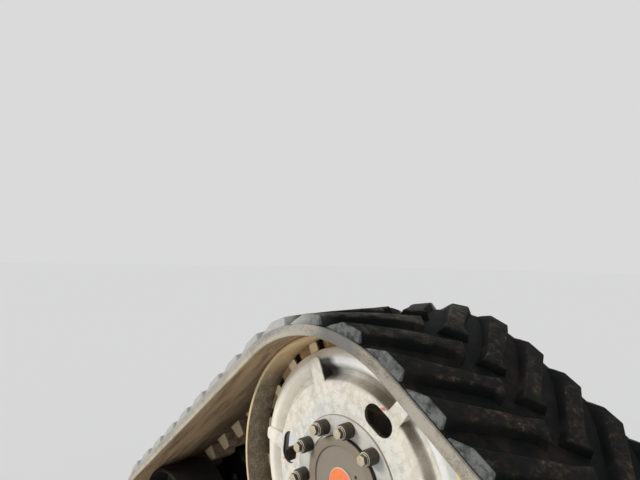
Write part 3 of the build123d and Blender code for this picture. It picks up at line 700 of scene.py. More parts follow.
@dataclass(frozen=True)
class BeltFinish:
    """Black rubber with soil on its lugs, a pale dusty edge and brown streaks inside, with painted light and
    shade on the edge, the tread lugs and the drive lugs.

    Spans of x and z are where a look begins and ends along the belt's course round the drive wheel.
    """

    thick: float
    crown: float
    shoulder: float
    foot: float
    name: str = "belt rubber"
    rubber: Colour = (0.0058, 0.0068, 0.0072)
    wear_and_highlight: Colour = (0.0150, 0.0140, 0.0130)
    soil: Colour = (0.0420, 0.0310, 0.0220)
    clay: Colour = (0.1850, 0.1280, 0.0740)
    grey_dust: Colour = (0.0750, 0.0680, 0.0580)
    edge: Colour = (0.580, 0.510, 0.405)
    # Painted shade: the edge's dust darker ahead of the wheel.
    edge_front_shade: Colour = (0.410, 0.380, 0.320)
    # Colour of the edge's stains and of a painted shade band ahead.
    edge_stain_and_shade: Colour = (0.180, 0.155, 0.125)
    edge_grey: Colour = (0.330, 0.340, 0.340)
    # Painted shade: a darker, cool band over the top of the edge.
    edge_cool_shade: Colour = (0.150, 0.163, 0.170)
    facet: Colour = (0.155, 0.166, 0.160)
    facet_dark: Colour = (0.046, 0.050, 0.048)
    # Pale dust on the lugs' ends behind the wheel, also laid as painted light over gaps in shade.
    rear_dust_and_light: Colour = (0.460, 0.462, 0.448)
    inside: Colour = (0.420, 0.298, 0.180)
    inside_dark: Colour = (0.055, 0.042, 0.030)
    # Painted light on the drive lugs' outboard ends, painted shade on their flanks.
    lug_end_light: Colour = (0.560, 0.440, 0.300)
    lug_flank_shade: Colour = (0.215, 0.158, 0.102)
    lug_reach: float = 0.105
    settled_z: Span = (0.46, 0.55)
    # Span over which the edge's dust goes from lit beige to painted shade.
    front_shade_x: Span = (-0.45, 0.15)
    stained_x: Span = (-0.5, 0.1)
    grey_x: Span = (0.05, -0.20)
    # Spans of the cool painted shade over the top of the edge.
    cool_shade_x: Span = (0.025, 0.190)
    cool_shade_z: Span = (0.36, 0.46)
    shade_x: Span = (0.14, 0.32)
    rear_x: Span = (0.06, -0.14)
    seam_x: Span = (-0.10, 0.10)

    def build(self) -> Material:
        """Build the finish.

        Returns:
            The material.
        """
        sheet = BeltSheet(self.name)
        colour = sheet.blend(self.rubber, self.wear_and_highlight, sheet.clouds.rise(0.40, 0.68))
        colour = self._facets(sheet, self._tread(sheet, colour))
        outer = sheet.height.rise(self.thick + 0.0016, self.thick + 0.0004)
        rim = sheet.off.rise(self.foot, self.foot + 0.0012) * outer
        colour = sheet.blend(colour, self._edge(sheet), rim * (0.84 + 0.16 * sheet.fine))
        colour = self._inner(sheet, colour, rim)
        sheet.relief(sheet.fine * 0.45 + sheet.wear * 0.55, 0.0016)
        rough = (0.62 + 0.35 * sheet.clouds + rim * 0.2).least(0.96)
        return sheet.close(colour, rough, 0.0, 0.08)

    def _tread(self, sheet: BeltSheet, colour: Socket) -> Socket:
        """Lay crumbs of soil on the lugs, grey dust over the top of the wheel, and soil between the lugs.

        Args:
            sheet: The belt's sheet.
            colour: Colour of the rubber.

        Returns:
            The colour with the soil on it.
        """
        height, clouds, wear, smear = sheet.height, sheet.clouds, sheet.wear, sheet.smear
        crumbs = (smear * 0.40 + wear * 0.35 + sheet.fine * 0.25).rise(0.535, 0.605)
        clay = sheet.blend(self.soil, self.clay, crumbs * 0.85)
        inward = 0.30 + 0.70 * sheet.off.rise(self.shoulder, self.shoulder - 0.20)
        clinging = height.rise(self.crown - 0.010, self.crown - 0.002) * inward
        colour = sheet.blend(colour, clay, clinging * (smear * 0.55 + wear * 0.45).rise(0.44, 0.60) * 0.85)
        settled = height.rise(self.crown - 0.008, self.crown - 0.002) * sheet.z.rise(*self.settled_z)
        settled = settled * (clouds * 0.5 + wear * 0.5).rise(0.42, 0.58)
        colour = sheet.blend(colour, self.grey_dust, settled * 0.7)
        floor = height.band(self.thick - 0.006, self.thick + 0.006, 0.003)
        return sheet.blend(colour, self.soil, floor * clouds.rise(0.48, 0.68) * 0.35)

    def _facets(self, sheet: BeltSheet, colour: Socket) -> Socket:
        """Dust the lugs' sloping ends, paler behind the wheel, above a dark seam along their feet, and lay
        pale painted light over the gaps behind the wheel where shade falls.

        Args:
            sheet: The belt's sheet.
            colour: Colour of the tread.

        Returns:
            The colour with the dust and the painted light on it.
        """
        height, off, wear = sheet.height, sheet.off, sheet.wear
        outside = height.rise(self.thick + 0.0008, self.thick + 0.0020)
        slope = off.rise(self.shoulder - 0.0035, self.shoulder - 0.0005) * outside
        rear = sheet.x.rise(*self.rear_x)
        # Painted light: pale colour over the gaps between the lugs behind the wheel, where shade falls.
        gap = off.rise(self.shoulder - 0.060, self.shoulder - 0.012) * outside
        colour = sheet.blend(colour, self.rear_dust_and_light, gap * rear * 0.72)
        grey = sheet.blend(self.facet_dark, self.facet, wear.rise(0.36, 0.60))
        grey = sheet.blend(grey, self.rear_dust_and_light, rear * (0.7 + 0.3 * wear))
        colour = sheet.blend(colour, grey, slope * 0.94)
        low = height.rise(self.thick - 0.002, self.thick)
        low = low * height.rise(self.thick + 0.0040, self.thick + 0.0028)
        seam = off.band(self.foot - 0.0012, self.foot + 0.0006, 0.0006) * low * sheet.x.rise(*self.seam_x)
        return sheet.blend(colour, self.rubber, seam * 0.7)

    def _edge(self, sheet: BeltSheet) -> Socket:
        """Dust on the belt's edge with painted light and shade: lit beige behind, darker in painted shade and
        stained ahead, with a painted shade band there, and a cool painted shade over the top.

        Args:
            sheet: The belt's sheet.

        Returns:
            The colour of the dust with its painted light and shade.
        """
        x, wear = sheet.x, sheet.wear
        # Painted light and shade: the dust lit beige behind the wheel, darker ahead.
        edge_dust_and_shade = sheet.blend(self.edge, self.edge_front_shade, x.rise(*self.front_shade_x))
        upper = sheet.height.rise(0.008, 0.020) * x.rise(*self.grey_x) * (0.45 + 0.5 * wear)
        edge_dust_and_shade = sheet.blend(edge_dust_and_shade, self.edge_grey, upper)
        # Painted shade: darker and cooler over the top of the edge.
        cool_light_and_shade = x.band(*self.cool_shade_x, 0.035) * sheet.z.rise(*self.cool_shade_z)
        edge_dust_and_shade = sheet.blend(edge_dust_and_shade, self.edge_cool_shade, cool_light_and_shade * 0.85)
        grain = (sheet.drawn * 0.35 + wear * 0.30 + sheet.fine * 0.35).rise(0.44, 0.60)
        # Stains, with a painted shade band ahead of the wheel.
        stain_and_shade = grain * (0.52 + 0.28 * x.rise(*self.stained_x)) + x.band(*self.shade_x, 0.10) * 0.25
        return sheet.blend(edge_dust_and_shade, self.edge_stain_and_shade, stain_and_shade.least(0.88))

    def _inner(self, sheet: BeltSheet, colour: Socket, rim: Signal) -> Socket:
        """Streak the inner face brown, darker towards the drive lugs, and dress those with painted shade on
        their flanks and painted light on their outboard ends.

        Args:
            sheet: The belt's sheet.
            colour: Colour of the belt outside.
            rim: Where its edge is.

        Returns:
            The colour with the inner face on it.
        """
        height, wear = sheet.height, sheet.wear
        brown = sheet.blend(self.inside, self.inside_dark, sheet.drawn.rise(0.42, 0.68) * 0.60)
        dark = sheet.off.rise(self.lug_reach + 0.16, self.lug_reach) * (0.55 + 0.45 * sheet.clouds)
        brown = sheet.blend(brown, self.inside_dark, dark)
        colour = sheet.blend(colour, brown, height.rise(0.0045, 0.0015) * (1.0 - rim) * 0.94)
        # Painted shade on the drive lugs' flanks, painted light on their ends that face outboard.
        lug = sheet.blend(self.lug_flank_shade, self.inside_dark, wear.rise(0.42, 0.64) * 0.6)
        lug = sheet.blend(lug, self.lug_end_light, sheet.face_y.rise(-0.45, -0.75) * (0.6 + 0.4 * wear))
        return sheet.blend(colour, lug, height.rise(-0.002, -0.006) * 0.94)


class DiscSheet(Sheet):
    """Sheet of the wheel's disc, with its place round the hub and the noises that its patterns share."""

    def __init__(self, name: str, hub_y: float) -> None:
        """Work out the place round the hub and lay out the noises.

        Args:
            name: Name of the material.
            hub_y: Front of the clamp ring, from which depth is counted.
        """
        super().__init__(name)
        self.radius = self.distance()
        self.turn = self.z.angle(self.x)
        self.depth = self.y - hub_y
        self.clouds = self.noise(6.0, 5.0, 0.65)
        self.patchy = self.noise(24.0, 6.0, 0.72)
        self.fine = self.noise(260.0, 4.0, 0.7)


@dataclass(frozen=True)
class DiscFinish:
    """Off-white paint of the dished disc with brown dust and painted shadow in its valley, painted shade on
    its side walls, painted reflections and light on its paint and rim, scratches and two red marks.

    Angles are degrees from straight ahead; each mark is a radius, an angle and a strength.
    """

    hub_y: float
    name: str = "wheel disc paint"
    paint: Colour = (0.725, 0.695, 0.610)
    # Painted sky reflection: bluish clouds and a bluish band near the clamp ring.
    cool_light_and_shade: Colour = (0.600, 0.655, 0.690)
    # Painted bluish-white reflection on the rim ahead.
    sky_sheen: Colour = (0.770, 0.800, 0.810)
    # Painted light, cream, on the rim behind the top ear.
    lit_cream: Colour = (0.900, 0.850, 0.745)
    grime: Colour = (0.420, 0.372, 0.290)
    # Brown mud, also the colour of painted shadow in the valley and painted shade on walls.
    mud_and_shade: Colour = (0.088, 0.068, 0.045)
    # Cooler tone of the valley's dust and painted shadow near the top.
    mud_and_shade_cool: Colour = (0.120, 0.126, 0.128)
    # Black of painted shadow and painted shade.
    shade_black: Colour = (0.016, 0.013, 0.009)
    mark: Colour = (0.620, 0.060, 0.050)
    marks: tuple[Triple, ...] = ((0.317, 59.9, 0.9), (0.303, 182.5, 0.5))
    mark_shape: Span = (0.45, 3.0)
    valley_in: float = 0.327
    valley_out: float = 0.378
    # Radii between which side walls are given painted shade.
    valley_wall: Span = (0.222, 0.326)
    ear_angle: float = 52.0
    ear_step: float = 60.0
    clamp_radius: float = 0.212

    def build(self) -> Material:
        """Build the finish.

        Returns:
            The material.
        """
        sheet = DiscSheet(self.name, self.hub_y)
        radius, depth = sheet.radius, sheet.depth
        # Brown dust and painted shadow in the valley, cooler near the top.
        dirt_and_shade = self._valley_dirt_and_shade(sheet)
        mud_and_shade = sheet.blend(self.mud_and_shade, self.mud_and_shade_cool, sheet.turn.rise(76.0, 90.0))
        colour = sheet.blend(self._paint(sheet), mud_and_shade, dirt_and_shade)
        # Painted shadow of the top ear, black in the corner beside it.
        colour = sheet.blend(colour, self.shade_black, self._ear_shadow(sheet))
        # Painted shade on side walls sunk 8.5 to 17.5 mm: mud-brown, then half black.
        wall_shade = abs(sheet.face_y).rise(0.55, 0.25) * depth.band(0.0085, 0.0175, 0.0012)
        wall_shade = wall_shade * radius.band(*self.valley_wall, 0.002)
        colour = sheet.blend(sheet.blend(colour, self.mud_and_shade, wall_shade * 0.97), self.shade_black, wall_shade * 0.5)
        groove = radius.band(self.clamp_radius + 0.0004, self.clamp_radius + 0.0026, 0.0006)
        colour = sheet.blend(colour, self.mud_and_shade, groove * 0.85)
        for reach, angle, strength in self.marks:
            spot = math.radians(angle)
            near = sheet.distance(reach * math.cos(spot), reach * math.sin(spot), self.mark_shape)
            dab = (near + (sheet.fine - 0.5) * 0.020).rise(0.0085, 0.0055)
            colour = sheet.blend(colour, self.mark, dab * depth.rise(0.012, 0.009) * strength)
        sheet.relief(sheet.fine * 0.4 + sheet.patchy * 0.6, 0.0008)
        return sheet.close(colour, (0.42 + 0.30 * sheet.patchy + 0.35 * dirt_and_shade).least(0.95))

    def _paint(self, sheet: DiscSheet) -> Socket:
        """Paint with a painted sky reflection in cool clouds and near the clamp ring, grime in cracks and
        scratches, and on the rim a painted bluish-white reflection ahead and painted cream light behind.

        Args:
            sheet: The disc's sheet.

        Returns:
            The colour of the paint.
        """
        x, y, z, clouds, patchy = sheet.x, sheet.y, sheet.z, sheet.clouds, sheet.patchy
        radius, turn = sheet.radius, sheet.turn
        # Painted sky reflection: cool clouds, and a cool band near the clamp ring.
        cool_light_and_shade = clouds.rise(0.48, 0.66) * 0.6 + radius.band(0.222, 0.262, 0.02) * 0.35
        colour = sheet.blend(self.paint, self.cool_light_and_shade, cool_light_and_shade.least(0.8))
        colour = sheet.blend(colour, self.grime, (patchy * 0.6 + sheet.fine * 0.4).rise(0.46, 0.66) * 0.60)
        cracks = sheet.cells(46.0, sheet.vector(x + patchy * 0.03, y, z + clouds * 0.03)).rise(0.50, 0.66)
        colour = sheet.blend(colour, self.grime, cracks * 0.30)
        scratch_at = sheet.vector(x * 8.0 + z * 3.0, y, z * 60.0 - x * 22.0)
        scratches = sheet.noise(5.0, 2.0, 0.5, scratch_at).rise(0.67, 0.71)
        colour = sheet.blend(colour, self.grime, scratches * 0.35)
        # Painted reflection, bluish-white, on the rim ahead; painted light, cream, on the rim behind.
        ahead = radius.rise(0.362, 0.382) * turn.rise(116.0, 100.0) * turn.rise(-40.0, 20.0)
        behind = radius.rise(0.345, 0.375) * turn.rise(113.0, 126.0).most(turn.rise(-60.0, -110.0))
        for rim, top in ((ahead, self.sky_sheen), (behind, self.lit_cream)):
            colour = sheet.blend(colour, top, rim * 0.85 * (0.6 + 0.4 * patchy))
        return colour

    def _valley_dirt_and_shade(self, sheet: DiscSheet) -> Signal:
        """Brown dirt and painted shadow in the valley ahead of the top ear, more of both beside the ears.

        Args:
            sheet: The disc's sheet.

        Returns:
            How much of both lies there.
        """
        radius, turn = sheet.radius, sheet.turn
        sunk = sheet.depth.rise(0.0040, 0.0125)
        ahead = turn.rise(54.0, 48.0)
        wide = radius.rise(self.valley_in - 0.024, self.valley_in + 0.002)
        wide = wide * radius.rise(self.valley_out - 0.004, self.valley_out - 0.028)
        narrow = radius.rise(self.valley_in - 0.009, self.valley_in) * radius.rise(0.3440, 0.3360)
        valley = wide * (1.0 - ahead) + narrow * ahead
        # More darkening beside each ear, where its painted shadow lies, and little behind the top ear.
        phase = (turn - self.ear_angle) % self.ear_step
        beside = phase.rise(36.0, 9.0) * 0.52 + phase.rise(36.0, 50.0) * 0.42
        darkening = (0.36 + beside) * turn.rise(122.0, 111.0) + 0.10
        darkening = darkening + 0.30 * (sheet.clouds - 0.5) + 0.20 * (sheet.fine - 0.5)
        return (valley * sunk * darkening).least(0.95)

    def _ear_shadow(self, sheet: DiscSheet) -> Signal:
        """Painted shadow of the top ear: black in the corner between the valley and its near side.

        Args:
            sheet: The disc's sheet.

        Returns:
            How much of it lies there.
        """
        turn, clouds = sheet.turn, sheet.clouds
        phase = (turn - self.ear_angle) % self.ear_step
        top_ear_shadow = (phase + 6.0 * (clouds - 0.5)).rise(self.ear_step - 15.0, self.ear_step - 8.5)
        top_ear_shadow = top_ear_shadow * turn.rise(80.0, 90.0) * turn.rise(119.0, 112.0)
        wide = sheet.radius.band(self.valley_in + 0.004, self.valley_out + 0.024, 0.010)
        return (top_ear_shadow * wide * sheet.depth.rise(0.008, 0.014) * (0.75 + 0.5 * clouds)).least(0.95)


@dataclass(frozen=True)
class RingFinish:
    """Off-white paint under brown dust on the rings of the drive wheel, with dark grime and painted shade
    below the top and a painted highlight along the outer edge.
    """

    edge_y: float
    name: str = "wheel ring paint"
    paint: Colour = (0.770, 0.560, 0.310)
    dust: Colour = (0.580, 0.405, 0.215)
    # Dark grime with painted shade, over all but the top of the rings.
    dark: Colour = (0.082, 0.068, 0.048)
    stone: Colour = (0.310, 0.275, 0.208)
    # Painted highlight along the outer edge.
    edge_highlight: Colour = (0.720, 0.560, 0.330)
    low_z: Span = (0.42, 0.22)

    def build(self) -> Material:
        """Build the finish.

        Returns:
            The material.
        """
        sheet = Sheet(self.name)
        clouds = sheet.noise(5.0, 5.0, 0.65)
        patchy = sheet.noise(32.0, 6.0, 0.75)
        fine = sheet.noise(190.0, 5.0, 0.75)
        colour = sheet.blend(self.paint, self.dust, clouds.rise(0.40, 0.62))
        # Painted shade with dark grime over all but the top of the rings.
        low = sheet.z.rise(*self.low_z)
        grime_and_shade = sheet.blend(self.dark, self.stone, (fine * 0.55 + patchy * 0.45).rise(0.44, 0.64))
        colour = sheet.blend(colour, grime_and_shade, low * 0.92)
        # Painted highlight along the outboard edge.
        wear_and_highlight = (sheet.y - self.edge_y).rise(0.0030, 0.0012)
        colour = sheet.blend(colour, self.edge_highlight, wear_and_highlight * (0.72 + 0.28 * patchy))
        sheet.relief(fine * 0.5 + patchy * 0.5, 0.0014)
        return sheet.close(colour, 0.50 + 0.35 * patchy)


@dataclass(frozen=True)
class BarFinish:
    """Cream paint on the ends of the drive bars, brown and worn along them."""

    name: str = "drive bar paint"
    end: Colour = (0.800, 0.670, 0.450)
    body: Colour = (0.300, 0.210, 0.125)
    dark: Colour = (0.090, 0.066, 0.044)

    def build(self) -> Material:
        """Build the finish.

        Returns:
            The material.
        """
        sheet = Sheet(self.name)
        patchy = sheet.noise(34.0, 6.0, 0.72)
        fine = sheet.noise(220.0, 4.0, 0.7)
        body = sheet.blend(self.body, self.dark, patchy.rise(0.42, 0.66) * 0.8)
        ends = abs(sheet.face_y).rise(0.55, 0.85)
        front = sheet.blend(self.end, self.body, patchy.rise(0.50, 0.72) * 0.5)
        sheet.relief(fine * 0.5 + patchy * 0.5, 0.0009)
        return sheet.close(sheet.blend(body, front, ends), 0.55 + 0.3 * patchy)


@dataclass(frozen=True)
class CoverFinish:
    """Dull grey-brown cover with fine dust, a darker step round its middle, and painted shade on its side
    wall, in the step's fold and round the plug.
    """

    radius: float
    step: float
    name: str = "hub cover grey"
    colour: Colour = (0.232, 0.198, 0.156)
    ring: Colour = (0.212, 0.174, 0.122)
    # Near-black painted shade on the side wall, in the fold and round the plug.
    wall_shade: Colour = (0.022, 0.019, 0.016)
    dust: Colour = (0.320, 0.285, 0.232)
    dab: Span = (0.0614, 0.0407)
    dab_radius: float = 0.0064

    def build(self) -> Material:
        """Build the finish.

        Returns:
            The material.
        """
        sheet = Sheet(self.name)
        radius = sheet.distance()
        clouds = sheet.noise(14.0, 5.0, 0.65)
        fine = sheet.noise(420.0, 4.0, 0.7)
        colour = sheet.blend(self.colour, self.dust, (clouds * 0.5 + fine * 0.5).rise(0.46, 0.70) * 0.35)
        colour = sheet.blend(colour, self.ring, radius.rise(self.step - 0.004, self.step + 0.001) * 0.75)
        # Painted shade in the fold of the step.
        fold = radius.band(self.step - 0.0035, self.step - 0.0008, 0.0010)
        colour = sheet.blend(colour, self.wall_shade, fold * 0.55)
        # Painted shade on the side wall.
        colour = sheet.blend(colour, self.wall_shade, radius.rise(self.radius - 0.0024, self.radius - 0.0006))
        # Painted shade round the plug.
        near = sheet.distance(*self.dab)
        colour = sheet.blend(colour, self.wall_shade, near.rise(self.dab_radius, self.dab_radius - 0.0012))
        sheet.relief(fine * 0.6 + clouds * 0.4, 0.0005)
        return sheet.close(colour, 0.48 + 0.3 * clouds)


@dataclass(frozen=True)
class BadgeFinish:
    """Orange enamel with a thin pale rim, lightly dusted."""

    radius: float
    name: str = "blank badge"
    enamel: Colour = (0.860, 0.215, 0.075)
    deep: Colour = (0.640, 0.115, 0.035)
    rim: Colour = (0.560, 0.500, 0.430)

    def build(self) -> Material:
        """Build the finish.

        Returns:
            The material.
        """
        sheet = Sheet(self.name)
        radius = sheet.distance()
        haze = sheet.noise(55.0, 4.0, 0.65)
        fine = sheet.noise(520.0, 3.0, 0.6)
        colour = sheet.blend(self.enamel, self.deep, haze.rise(0.40, 0.70) * 0.4)
        colour = sheet.blend(colour, PALE_DUST, (haze * 0.5 + fine * 0.5).rise(0.52, 0.75) * 0.35)
        pale = radius.rise(self.radius - 0.0034, self.radius - 0.0026)
        sheet.relief(fine, 0.0001)
        return sheet.close(sheet.blend(colour, self.rim, pale), 0.30 + 0.25 * haze)


@dataclass(frozen=True)
class BoltFinish:
    """Yellow-grey plated bolt heads, pale on their fronts, their flats in dark painted shade with oily
    patches.
    """

    name: str = "zinc bolts"
    front: Colour = (0.480, 0.420, 0.300)
    # Painted shade on the flats.
    flat: Colour = (0.075, 0.060, 0.040)
    oil_and_shade: Colour = (0.028, 0.023, 0.016)
    front_facing: float = 0.5

    def build(self) -> Material:
        """Build the finish.

        Returns:
            The material.
        """
        sheet = Sheet(self.name)
        patchy = sheet.noise(70.0, 5.0, 0.7)
        fine = sheet.noise(420.0, 3.0, 0.6)
        head = abs(sheet.face_y).rise(self.front_facing, self.front_facing + 0.25)
        # Painted shade on the flats, with oily patches; pale plating on the fronts.
        shaded_flats = sheet.blend(self.flat, self.oil_and_shade, patchy.rise(0.40, 0.62) * 0.8)
        front = sheet.blend(self.front, self.flat, (patchy * 0.7 + fine * 0.3).rise(0.52, 0.70) * 0.55)
        colour = sheet.blend(shaded_flats, front, head)
        colour = sheet.blend(colour, FIELD_DUST, sheet.face_z.rise(0.55, 0.95) * 0.35)
        sheet.relief(fine * 0.5 + patchy * 0.5, 0.0004)
        return sheet.close(colour, 0.42 + 0.35 * patchy, 0.25 * head)


@dataclass(frozen=True)
class WasherFinish:
    """Washers with a painted highlight on each front edge and dark oil and painted shade between them."""

    front_y: float
    thick: float = 0.004
    name: str = "washer steel"
    edge_highlight: Colour = (0.640, 0.590, 0.480)
    oil_and_shade: Colour = (0.020, 0.016, 0.011)

    def build(self) -> Material:
        """Build the finish.

        Returns:
            The material.
        """
        sheet = Sheet(self.name)
        patchy = sheet.noise(80.0, 5.0, 0.7)
        # Painted highlight on each washer's front edge, dark oil and painted shade behind it.
        depth = (sheet.y - self.front_y) % self.thick
        edge = depth.rise(self.thick * 0.45, self.thick * 0.30)
        colour = sheet.blend(self.oil_and_shade, self.edge_highlight, edge * (0.62 + 0.38 * patchy))
        sheet.relief(patchy, 0.0003)
        return sheet.close(colour, 0.36 + 0.3 * patchy, 0.4)


@dataclass(frozen=True)
class TyreFinish:
    """Wheels in near-black paint, darkened as painted shade, with a black rubber tread, dust on the paint and
    soil on the rubber.
    """

    name: str
    axle: Span
    radius: float
    rubber_depth: float
    # Near-black: dark paint and painted shade.
    paint: Colour = (0.026, 0.026, 0.028)
    rubber: Colour = (0.0080, 0.0080, 0.0084)
    dust: Colour = (0.038, 0.029, 0.020)

    def build(self) -> Material:
        """Build the finish.

        Returns:
            The material.
        """
        sheet = Sheet(self.name)
        clouds = sheet.noise(9.0, 5.0, 0.65)
        patchy = sheet.noise(32.0, 6.0, 0.72)
        fine = sheet.noise(220.0, 4.0, 0.65)
        outer = sheet.distance(*self.axle)
        tyre = outer.band(self.radius - self.rubber_depth, self.radius + 0.01, 0.0006)
        settled = sheet.face_z.rise(0.1, 0.9) * 0.5 + clouds.rise(0.42, 0.66) * 0.45
        settled = settled * patchy.rise(0.30, 0.58)
        # Near-black web, dark paint and painted shade, under dust.
        web_paint_and_shade = sheet.blend(self.paint, self.dust, settled.least(0.85))
        rubber = sheet.blend(self.rubber, self.dust, settled * 0.35)
        sheet.relief(fine * 0.5 + patchy * 0.5, 0.0009)
        return sheet.close(sheet.blend(web_paint_and_shade, rubber, tyre), 0.55 + 0.35 * patchy, 0.0, 0.2)


class Finishes:
    """Every finish of the unit, built once and looked up by its slot or by a node's name."""

    cover_step: float = 0.030
    smallest_idler: float = 0.2
    idler_rubber: float = 0.0165
    roller_rubber: float = 0.0125

    def __init__(self, layout: Layout) -> None:
        """Build all the finishes.

        Args:
            layout: Places that some patterns are centred on.
        """
        ring_low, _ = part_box("drive_ring_outboard")
        washer_low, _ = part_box("bolt_washers")
        _, cover_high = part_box("hub_cover")
        _, badge_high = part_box("hub_badge")
        recipes: dict[str, Any] = {
            "belt_rubber": Belt.finish(layout),
            "wheel_paint": DiscFinish(layout.hub_y),
            "rim_paint": RingFinish(ring_low.y),
            "bar_steel": BarFinish(),
            "clamp_paint": WornFinish(
                "clamp ring paint", (0.560, 0.545, 0.490), (0.470, 0.495, 0.515), dust=(0.34, 0.27, 0.18),
                dust_up=0.1, dust_all=0.55, roughness=0.45, blotch_scale=9.0
            ),
            "cover_grey": CoverFinish(cover_high.x, cover_high.x - self.cover_step),
            "badge_orange": BadgeFinish(badge_high.x),
            "sleeve_steel": WornFinish(
                "spacer sleeve", (0.034, 0.028, 0.018), (0.018, 0.014, 0.010), dust_up=0.15, dust_all=0.06,
                roughness=0.5, grain_scale=300.0, blotch_scale=26.0, blotch=0.8
            ),
            "bolt_zinc": BoltFinish(),
            "packed_soil": PackedFinish(),
            "washer_steel": WasherFinish(washer_low.y),
            "drive_casting": WornFinish(
                "gear housing casting", (0.055, 0.055, 0.058), (0.100, 0.088, 0.076), dust_up=0.7,
                dust_all=0.3, roughness=0.6, grain=0.0012, grain_scale=120.0
            ),
            "frame_paint": WornFinish(
                "track frame paint", (0.032, 0.034, 0.037), (0.066, 0.060, 0.054), dust_up=0.75,
                dust_all=0.35, roughness=0.5, grain=0.0006, speckle=0.4
            ),
            "shaft_steel": WornFinish(
                "machined steel", (0.55, 0.55, 0.55), (0.36, 0.34, 0.32), dust=PALE_DUST, dust_up=0.2,
                dust_all=0.15, roughness=0.32, metallic=0.9, grain=0.0001
            ),
        }
        recipes.update(self._tyres())
        self.materials = {slot: recipe.build() for slot, recipe in recipes.items()}

    def _tyres(self) -> dict[str, TyreFinish]:
        """List a finish for each pair of idlers or rollers, centred on its own axle.

        Returns:
            The finishes by node.
        """
        found = {}
        for name in sorted(n for n in frame["nodes"] if n.endswith("_wheels")):
            low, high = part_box(name)
            radius = (high.x - low.x) / 2
            rubber = self.idler_rubber if radius > self.smallest_idler else self.roller_rubber
            axle = ((low.x + high.x) / 2, (low.z + high.z) / 2)
            found[name] = TyreFinish(name + "_finish", axle, radius, rubber)
        return found

    def __getitem__(self, slot: str) -> Material:
        """Material of a slot or of a node."""
        return self.materials[slot]


# Belt


@dataclass(frozen=True)
class LugStation:
    """Cross-section of a tread lug at one place between its outer and its inner end.

    The place and the skew are shares of the way in; the foot reaches behind and ahead of the crest's middle.
    """

    share: float
    skew: float
    behind: float
    ahead: float
    crest: float

    def towards(self, other: "LugStation", share: float) -> "LugStation":
        """Mix this section with the next at a share of the way in."""
        t = (share - self.share) / (other.share - self.share)
        return LugStation(*(a + (b - a) * t for a, b in zip(astuple(self), astuple(other))))


